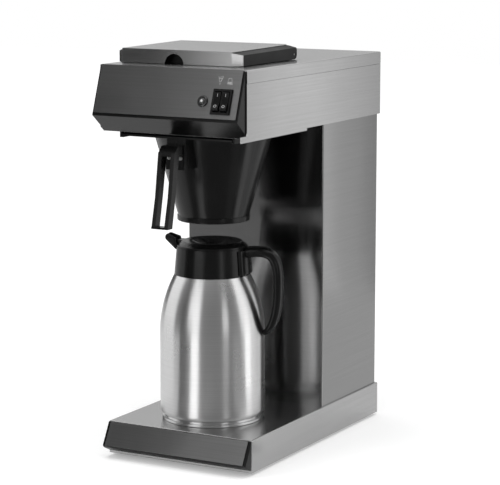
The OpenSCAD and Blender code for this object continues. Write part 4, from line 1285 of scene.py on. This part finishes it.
    def rocker_marks_and_glint(self, name: str, x: float) -> Object:
        """Printed bar on the upper and ring on the lower half of a rocker's face; the ring also paints the
        glint at the rocker's lower end.

        Args:
            name: Name of the piece.
            x: Place of the rocker across the panel.

        Returns:
            The piece.
        """
        lean = math.degrees(math.atan2(self.horn - self.crest, self.half_length))
        step = 360 / self.circle_points
        circle = arc((0, 0), self.circle_radius, 0, 360 - step, self.circle_points - 1)
        bar = ribbon([(0, -self.bar_half), (0, self.bar_half)], self.bar_line, self.mark_height)
        ring = ribbon(circle, self.circle_line, self.mark_height, True)
        for part, side in ((bar, 1), (ring, -1)):
            height = self.crest + self.rocker_mark_y * math.tan(math.radians(lean))
            tilt = Matrix.Rotation(math.radians(side * lean), 4, "X")
            part.transform(Matrix.Translation((0.0, side * self.rocker_mark_y, height)) @ tilt)
        tip = Matrix.Rotation(math.radians(self.tip), 4, "X")
        seat = Matrix.Translation((0.0, 0.0, self.pivot)) @ tip
        return form(name, joined([bar, ring]), self.on_panel(x) @ seat)


@dataclass
class FillLid:
    """Steel fill lid over its black frame."""

    edge: float = 0.42

    def build(self) -> list[Object]:
        """Builds and dresses the pieces of the lid.

        Returns:
            The pieces.
        """
        return [
            stand_in("fill_lid", "lid_sheet", self.edge, Body.FILL_LID, Slot.SATIN_STEEL),
            stand_in("fill_lid_frame", "lid_cheeks", self.edge, Body.FILL_LID, Slot.BLACK_MATTE),
        ]


@dataclass
class FilterBasket:
    """Filter basket with ribs inside, its handle and screws."""

    axis_y: float = 87.5
    foot: float = 303.0
    mouth: float = 400.0
    foot_radius: float = 42.2
    mouth_radius: float = 69.8
    cone_edge: float = 0.6
    grip_edge: float = 1.0
    rib_count: int = 24
    rib_reach: float = 1.6
    rib_half: float = 0.7
    rib_crest_share: float = 0.6
    rib_lift: float = 4.0
    rib_sink: float = 0.5
    rib_slant: float = 1.0
    screw: PanScrew = PanScrew(2.5, 1.6, 1.5, 10.4)
    screw_turn: float = 90.0
    screw_x: float = 8.0
    screw_z: float = 383.4
    plate_front: float = -5.0

    def build(self) -> list[Object]:
        """Builds and dresses the pieces of the basket.

        Returns:
            The pieces.
        """
        return [
            stand_in("filter_basket", "basket_cone", self.cone_edge, Body.BASKET, Slot.BLACK_GLOSS),
            dress(self.ribs(), Body.BASKET, Slot.BLACK_GLOSS),
            stand_in("basket_handle", "basket_grip", self.grip_edge, Body.BASKET, Slot.BLACK_GLOSS),
            dress(self.screws(), Body.BASKET, Slot.SCREW_STEEL, "basket_handle_screws"),
        ]

    def ribs(self) -> Object:
        """Ribs that hold the filter paper off the wall.

        Returns:
            The piece.
        """
        half, crest = self.rib_half, self.rib_half * self.rib_crest_share
        slope = (self.mouth_radius - self.foot_radius) / (self.mouth - self.foot)
        sections = []
        for z in (self.foot + self.rib_lift, self.mouth):
            wall = self.foot_radius + slope * (z - self.foot) + self.rib_sink
            inner, top = wall - self.rib_reach, z + self.rib_slant
            sections.append([
                Vector((wall, -half, z)), Vector((wall, half, z)),
                Vector((inner, crest, top)), Vector((inner, -crest, top)),
            ])
        rib = form("rib", sweep(sections), IN_METRES)
        places = [at(0, self.axis_y, 0)] * self.rib_count
        return COPIES.spread("basket_ribs", rib, places, Slot.BLACK_GLOSS, 2 * math.pi / self.rib_count)

    def screws(self) -> Object:
        """Two screws that hold the handle's plate."""
        places = [at(side * self.screw_x, self.plate_front, self.screw_z) for side in (-1, 1)]
        return COPIES.spread("grip_screws", self.screw.build(self.screw_turn), places, Slot.SCREW_STEEL)


@dataclass
class Jug:
    """Thermal jug: steel body, foot ring, collar with spout, handle and lid."""

    axis_y: float = 83.5
    foot: float = 45.2
    turn: float = 14.0
    radius: float = 66.0
    straight: float = 109.0
    shoulder_radius: float = 157.0
    neck: float = 47.0
    shell: float = 0.8
    shell_low: float = 5.5
    shell_edge: float = 8.0
    shell_segments: int = 192
    edge_steps: int = 12
    shoulder_steps: int = 48
    throat: float = 43.0
    throat_height: float = 14.0
    ring_height: float = 3.0
    ring_radius: float = 63.5
    ring_width: float = 14.0
    ring_foot_edge: float = 1.0
    ring_rim_edge: float = 0.6
    ring_inner_edge: float = 0.5
    ring_segments: int = 160
    groove: float = 4.0
    groove_edge: float = 0.3
    collar_height: float = 34.5
    collar_lap: float = 0.5
    collar_draft: float = 3.0
    collar_edge: float = 0.8
    lid_edge: float = 0.8
    grip_reach: float = 85.6
    grip_thick: float = 10.5
    grip_wide: float = 20.0
    grip_taper: float = 0.45
    grip_top_drop: float = 5.8
    grip_middle_rise: float = 8.0
    grip_foot_rise: float = 2.0
    grip_foot_gap: float = 0.5
    grip_edge: float = 1.6
    grip_edge_steps: int = 4
    grip_steps: int = 28
    grip_shares: tuple[Flat, ...] = (
        (-0.8, -1.0), (0.8, -1.0), (1.0, -0.5), (1.0, 0.3),
        (0.7, 1.0), (-0.7, 1.0), (-1.0, 0.3), (-1.0, -0.5),
    )
    root_swell: float = 0.2
    upper_bulge: Flat = (-6.0, 5.0)
    middle_bulge: Flat = (0.8, -5.0)
    lower_bulge: Flat = (0.0, -34.0)
    foot_bulge: Flat = (12.0, 5.0)
    saddle_half: float = 24.0
    saddle_thick: float = 3.0
    saddle_gap: float = 0.15
    saddle_foot_rise: float = 2.0
    saddle_top_drop: float = 2.5
    saddle_end_share: float = 0.35
    saddle_end_slope: float = 4.0
    saddle_edges: Flat = (0.2, 1.2)

    def build(self) -> list[Object]:
        """Builds and dresses the pieces of the jug.

        Returns:
            The pieces.
        """
        return [
            dress(self.body(), Body.JUG, Slot.JUG_STEEL, "jug_outer_shell"),
            dress(self.ring(), Body.JUG, Slot.JUG_STEEL, "jug_base_ring"),
            stand_in("jug_collar", "collar_moulding", self.collar_edge, Body.JUG, Slot.BLACK_GLOSS),
            dress(self.handle(), Body.JUG, Slot.BLACK_GLOSS, "jug_handle"),
            stand_in("jug_lid", "jug_lid_cap", self.lid_edge, Body.JUG_LID, Slot.BLACK_GLOSS),
        ]

    @property
    def place(self) -> Matrix:
        """Jug's own frame: x along the handle, z up from its foot."""
        turn = Matrix.Rotation(math.radians(self.turn), 4, "Z")
        return TO_FRAME @ Matrix.Translation((0.0, self.axis_y, self.foot)) @ turn

    @property
    def arc_x(self) -> float:
        """Distance of the shoulder curve's centre from the axis."""
        return self.radius - self.shoulder_radius

    @property
    def shoulder_angle(self) -> float:
        """Sweep of the shoulder's curve in degrees."""
        return math.degrees(math.acos((self.neck - self.arc_x) / self.shoulder_radius))

    @property
    def shoulder_top(self) -> float:
        """Height of the collar's foot above the jug's foot."""
        return self.straight + self.shoulder_radius * math.sin(math.radians(self.shoulder_angle))

    @property
    def collar_top(self) -> float:
        """Height of the collar's upper edge above the jug's foot."""
        return self.shoulder_top + self.collar_height

    def collar_radius(self, height: float) -> float:
        """Radius of the collar's outside at a height above the jug's foot."""
        drawn_in = self.collar_draft * (height - self.shoulder_top) / self.collar_height
        return self.neck + self.collar_lap - drawn_in

    def body(self) -> Object:
        """Steel body: straight part, curved shoulder and throat, as a thin shell.

        Returns:
            The piece.
        """
        centre, angle, top = (self.arc_x, self.straight), self.shoulder_angle, self.shoulder_top
        low, wall, throat, edge = self.shell_low, self.shell, self.throat, self.shell_edge
        corner, rim = (self.radius - edge, low + edge), top + self.throat_height
        inner = self.shoulder_radius - wall
        inner_angle = math.degrees(math.asin((top - wall - self.straight) / inner))
        outline = [
            (0, low),
            *arc(corner, edge, -90, 0, self.edge_steps),
            *arc(centre, self.shoulder_radius, 0, angle, self.shoulder_steps),
            (throat, top), (throat, rim), (throat - wall, rim), (throat - wall, top - wall),
            *arc(centre, inner, inner_angle, 0, self.shoulder_steps),
            *arc(corner, edge - wall, 0, -90, self.edge_steps),
            (0, low + wall),
        ]
        return form("jug_body", lathe(outline, self.shell_segments), self.place)

    def ring(self) -> Object:
        """Steel foot ring with the groove under the body.

        Returns:
            The piece.
        """
        outer, height, top = self.ring_radius, self.ring_height, self.shell_low
        inner, waist = outer - self.ring_width, outer - self.groove
        outline = softened([
            (inner, 0, self.ring_foot_edge),
            (outer, 0, self.ring_foot_edge),
            (outer, height, self.ring_rim_edge),
            (waist, height, self.groove_edge),
            (waist, top, self.groove_edge),
            (inner, top, self.ring_inner_edge),
        ])
        return form("foot_ring", lathe(outline, self.ring_segments), self.place)

    def grip_sections(self) -> list[list[Vector]]:
        """Sections of the grip, from its root on the collar down to its foot on the body.

        Returns:
            Points of each section in the jug's own frame.
        """
        top, reach, steps = self.collar_top - self.grip_top_drop, self.grip_reach, self.grip_steps
        root = Vector((self.collar_radius(top) + self.saddle_thick / 2, top))
        middle = Vector((reach, (top + self.straight) / 2 + self.grip_middle_rise))
        end = Vector((self.radius + self.grip_foot_gap, self.straight + self.grip_foot_rise))
        (near, high), (far, drop) = self.upper_bulge, self.middle_bulge
        upper = [root, Vector((reach + near, top + high)), Vector((reach + far, top + drop)), middle]
        lower = [middle, middle + Vector(self.lower_bulge), end + Vector(self.foot_bulge), end]
        shares = [i / steps for i in range(steps + 1)]
        return [
            *(self.grip_section(upper, t, 1 + self.root_swell * (1 - t) ** 3) for t in shares[:-1]),
            *(self.grip_section(lower, t, 1 - self.grip_taper * t ** 3) for t in shares),
        ]

    def grip_section(self, curve: Sequence[Vector], t: float, size: float) -> list[Vector]:
        """One section of the grip.

        Args:
            curve: Control points of a cubic curve, as distance from the axis and height.
            t: Place along the curve.
            size: Scale of the section.

        Returns:
            Points of the section in the jug's own frame.
        """
        a, b, c, d = curve
        centre = a * (1 - t) ** 3 + b * 3 * (1 - t) ** 2 * t + c * 3 * (1 - t) * t * t + d * t ** 3
        heading = ((b - a) * (1 - t) ** 2 + (c - b) * 2 * (1 - t) * t + (d - c) * t * t).normalized()
        out = Vector((-heading.y, heading.x))
        w, h = size * self.grip_wide / 2, size * self.grip_thick / 2
        corners = [(u * w, v * h, self.grip_edge * size) for u, v in self.grip_shares]
        outline = softened(corners, self.grip_edge_steps)
        return [Vector((centre.x + out.x * v, u, centre.y + out.y * v)) for u, v in outline]

    def saddle_sections(self) -> list[list[Vector]]:
        """Sections of the saddle around the collar, thinner at both ends.

        Returns:
            Points of each section in the jug's own frame.
        """
        low, high = self.shoulder_top + self.saddle_foot_rise, self.collar_top - self.saddle_top_drop
        low_r, high_r = (self.collar_radius(z) + self.saddle_gap for z in (low, high))
        reach = math.asin(self.saddle_half / (high_r + self.saddle_thick))
        inner, outer = self.saddle_edges
        sections = []
        for i in range(self.grip_steps + 1):
            a = -reach + 2 * reach * i / self.grip_steps
            side = Vector((math.cos(a), math.sin(a), 0.0))
            share = self.saddle_end_share + self.saddle_end_slope * (1 - abs(a) / reach)
            thick = self.saddle_thick * min(1.0, share)
            corners = softened([
                (low_r, low, inner), (low_r + thick, low, outer), (high_r + thick, high, outer),
                (high_r, high, inner),
            ], self.grip_edge_steps)
            sections.append([side * r + Vector((0.0, 0.0, z)) for r, z in corners])
        return sections

    def handle(self) -> Object:
        """Grip with its saddle on the collar."""
        parts = [sweep(self.grip_sections()), sweep(self.saddle_sections())]
        return form("jug_grip", joined(parts), self.place)


def dress_frame() -> None:
    """Gives the CAD nodes that are still shown the finish of their slot."""
    slots = {row["node"]: Slot(row["material_slot"]) for row in frame["record"]["subparts"]}
    for name, obj in frame["nodes"].items():
        if not obj.hide_render:
            give_finish(obj, FINISHES[slots[name]])
            log.info("%s: frame node in %s", name, slots[name].value)


@dataclass(frozen=True)
class Lamp:
    """Soft square lamp."""

    name: str
    place: Solid
    size: float
    power: float


@dataclass(frozen=True)
class Card:
    """Board that shows only in reflections: it lies on the floor and then stands, between two bearings.

    The bearings are degrees from the camera's side, to the right as the camera sees it. The board runs from
    near to far at the height low and then up to high, about a point at the distance middle along y.
    """

    name: str
    start: float
    end: float
    level: float
    near: float = 1.49
    far: float = 1.5
    low: float = 0.004
    high: float = 0.005
    middle: float = 0.0


JUG_MIDDLE = (Jug.axis_y + DRAWING_SHIFT) * MM
"""Place of the jug's axis along y in the frame."""


@dataclass
class Studio:
    """Floor, lamps, boards, background and camera."""

    camera_place: Solid = (1.25876, -2.24104, 0.68079)
    camera_yaw: float = 29.09
    camera_pitch: float = 9.37
    lens: float = 146.25
    sensor: float = 36.0
    fill_level: float = 0.55
    floor_half: float = 6.0
    floor_tone: float = 0.82
    floor_lifts: Flat = (0.3, 0.62)
    floor_reach: Flat = (0.4, 4.0)
    lamp_aim: Solid = (0.0, 0.0, 0.25)
    lamps: tuple[Lamp, ...] = (
        Lamp("top_lamp", (0.0, -0.3, 2.6), 2.4, 34.0),
        Lamp("left_lamp", (-1.9, -2.0, 1.7), 1.6, 22.0),
        Lamp("right_lamp", (2.4, 0.2, 1.5), 1.6, 18.0),
    )
    card_steps: int = 8
    cards: tuple[Card, ...] = (
        Card("left_pale_floor", -150, -73, 0.8, near=0.15, far=1.2, middle=JUG_MIDDLE),
        Card("left_dark_floor", -73, -45, 0.16, near=0.15, far=1.2, middle=JUG_MIDDLE),
        Card("left_light_floor", -45, -28, 1.8, near=0.15, far=1.2, middle=JUG_MIDDLE),
        Card("front_grey_floor", -28, 73, 0.24, near=0.15, far=1.2, middle=JUG_MIDDLE),
        Card("front_pale_floor", 44, 60, 0.4, near=0.16, far=1.19, low=0.005, high=0.006, middle=JUG_MIDDLE),
        Card("right_light_floor", 73, 89, 1.7, near=0.3, far=1.2, middle=JUG_MIDDLE),
        Card("left_dark_board", -88, -57, 0.05, near=1.2, high=0.8),
        Card("left_grey_strip", -66, -57.5, 0.34, near=1.19, far=1.49, low=0.005, high=0.11),
        Card("left_black_strip", -57.5, -27, 0.02, near=1.2, high=0.17),
        Card("left_grey_board", -57, -53, 0.35, low=0.17, high=0.5),
        Card("left_light_board", -53, -27, 1.5, low=0.17, high=0.8),
        Card("left_dark_screen", -88, -54.5, 0.12, low=0.8, high=2.2),
        Card("left_light_screen", -54.5, -27, 1.1, low=0.8, high=2.2),
        Card("front_grey_board", -27, 62, 0.2, near=1.2, high=2.2),
        Card("right_light_board", 62, 86, 1.2, near=1.2, high=2.2),
        Card("corner_light_board", 21, 33, 1.6, near=1.44, far=1.45, low=0.12, high=0.6),
        Card("side_floor", 98, 150, 0.72, near=0.22, far=1.1),
        Card("side_front_board", 106, 116.3, 0.62, near=1.1, high=1.2),
        Card("side_light_board", 116.3, 121.8, 0.95, near=1.1, high=1.2),
        Card("side_grey_board", 121.8, 124.2, 0.7, near=1.1, high=1.2),
        Card("side_back_board", 124.2, 145, 0.5, near=1.1, high=1.2),
        Card("back_grey_board", 155, 195, 0.58, low=0.3, high=1.5),
        Card("back_dark_board", 195, 230, 0.03, low=0.1, high=0.6),
    )

    def build(self) -> None:
        """Sets the whole stage."""
        self.set_background()
        self.lay_floor()
        for lamp in self.lamps:
            self.hang(lamp)
        for card in self.cards:
            self.stand(card)
        self.set_camera()
        bpy.context.scene.view_settings.view_transform = "Standard"

    def set_background(self) -> None:
        """White to the camera and in reflections, and a soft even light for everything else."""
        world = bpy.data.worlds.new("Studio")
        world.use_nodes = True
        bpy.context.scene.world = world
        nodes, links = world.node_tree.nodes, world.node_tree.links
        nodes.clear()
        path = nodes.new("ShaderNodeLightPath")
        seen = path.outputs["Is Camera Ray"]
        for name in ("Is Glossy Ray", "Is Transmission Ray"):
            either = nodes.new("ShaderNodeMath")
            either.operation = "MAXIMUM"
            links.new(seen, either.inputs[0])
            links.new(path.outputs[name], either.inputs[1])
            seen = either.outputs["Value"]
        mix = nodes.new("ShaderNodeMixShader")
        links.new(seen, mix.inputs["Fac"])
        for socket, level in zip(mix.inputs[1:], (self.fill_level, 1.0)):
            back = nodes.new("ShaderNodeBackground")
            back.inputs["Color"].default_value = (1.0, 1.0, 1.0, 1.0)
            back.inputs["Strength"].default_value = level
            links.new(back.outputs["Background"], socket)
        links.new(mix.outputs["Shader"], nodes.new("ShaderNodeOutputWorld").inputs["Surface"])

    def floor_material(self) -> Material:
        """Pale surface that keeps the shadow and is lifted to white away from it, for the camera alone.

        Returns:
            The material.
        """
        material = bare_material("Studio floor")
        nodes, links = material.node_tree.nodes, material.node_tree.links
        diffuse = nodes.new("ShaderNodeBsdfDiffuse")
        diffuse.inputs["Color"].default_value = (self.floor_tone,) * 3 + (1.0,)
        lift = nodes.new("ShaderNodeEmission")
        away = nodes.new("ShaderNodeVectorMath")
        away.operation = "LENGTH"
        links.new(nodes.new("ShaderNodeTexCoord").outputs["Object"], away.inputs[0])
        fade = nodes.new("ShaderNodeMapRange")
        set_range(fade, self.floor_reach, self.floor_lifts)
        links.new(away.outputs["Value"], fade.inputs["Value"])
        share = nodes.new("ShaderNodeMath")
        share.operation = "MULTIPLY"
        links.new(nodes.new("ShaderNodeLightPath").outputs["Is Camera Ray"], share.inputs[0])
        links.new(fade.outputs["Result"], share.inputs[1])
        links.new(share.outputs["Value"], lift.inputs["Strength"])
        both = nodes.new("ShaderNodeAddShader")
        links.new(diffuse.outputs["BSDF"], both.inputs[0])
        links.new(lift.outputs["Emission"], both.inputs[1])
        links.new(both.outputs["Shader"], nodes.new("ShaderNodeOutputMaterial").inputs["Surface"])
        return material

    def lay_floor(self) -> None:
        """Plain pale floor."""
        half = self.floor_half
        corners = [(-half, -half, 0), (half, -half, 0), (half, half, 0), (-half, half, 0)]
        mesh = bpy.data.meshes.new("studio_floor")
        mesh.from_pydata(corners, [], [(0, 1, 2, 3)])
        mesh.materials.append(self.floor_material())
        floor = put("studio_floor", mesh)

    def hang(self, source: Lamp) -> None:
        """Hangs a lamp that lights the object and doesn't show in reflections.

        Args:
            source: The lamp.
        """
        light = bpy.data.lights.new(source.name, "AREA")
        light.shape = "SQUARE"
        light.size = source.size
        light.energy = source.power
        lamp = link(bpy.data.objects.new(source.name, light))
        lamp.location = source.place
        away = Vector(source.place) - Vector(self.lamp_aim)
        lamp.rotation_euler = away.to_track_quat("Z", "Y").to_euler()
        lamp.visible_glossy = False

    def bearing(self, degrees: float) -> Vector:
        """Level direction at a bearing from the camera's side, to the right as the camera sees it."""
        turn = math.radians(self.camera_yaw - 90 + degrees)
        return Vector((math.cos(turn), math.sin(turn), 0.0))

    def stand(self, card: Card) -> None:
        """Sets up a board.

        Args:
            card: The board.
        """
        steps, span = self.card_steps, card.end - card.start
        rows = [self.bearing(card.start + span * i / steps) for i in range(steps + 1)]
        profile = ((card.near, card.low), (card.far, card.low), (card.far, card.high))
        verts = [(p.x * r, p.y * r + card.middle, z) for p in rows for r, z in profile]
        faces = [(k, k + 1, k + 4, k + 3) for i in range(steps) for k in (3 * i, 3 * i + 1)]
        mesh = bpy.data.meshes.new(card.name)
        mesh.from_pydata(verts, [], faces)
        material = bare_material(card.name)
        nodes, links = material.node_tree.nodes, material.node_tree.links
        glow = nodes.new("ShaderNodeEmission")
        glow.inputs["Strength"].default_value = card.level
        links.new(glow.outputs["Emission"], nodes.new("ShaderNodeOutputMaterial").inputs["Surface"])
        mesh.materials.append(material)
        board = put(card.name, mesh)
        board.visible_camera = False
        board.visible_diffuse = False
        board.visible_shadow = False

    def set_camera(self) -> None:
        """Camera at the photograph's angle."""
        data = bpy.data.cameras.new("camera")
        data.lens = self.lens
        data.sensor_width = self.sensor
        camera = link(bpy.data.objects.new("camera", data))
        camera.location = self.camera_place
        camera.rotation_euler = (math.radians(90 - self.camera_pitch), 0.0, math.radians(self.camera_yaw))
        bpy.context.scene.camera = camera


def main() -> None:
    """Builds the sub-assemblies in order, dresses the frame and sets the stage."""
    logging.basicConfig(level=logging.INFO, format="%(message)s")
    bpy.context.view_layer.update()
    for unit in (BaseUnit(), Column(), Head(), ControlPanel(), FillLid(), FilterBasket(), Jug()):
        for piece in unit.build():
            log.info("%s: %s, %d faces", type(unit).__name__, piece.name, len(piece.data.polygons))
    dress_frame()
    Studio().build()


if __name__ == "__main__":
    main()
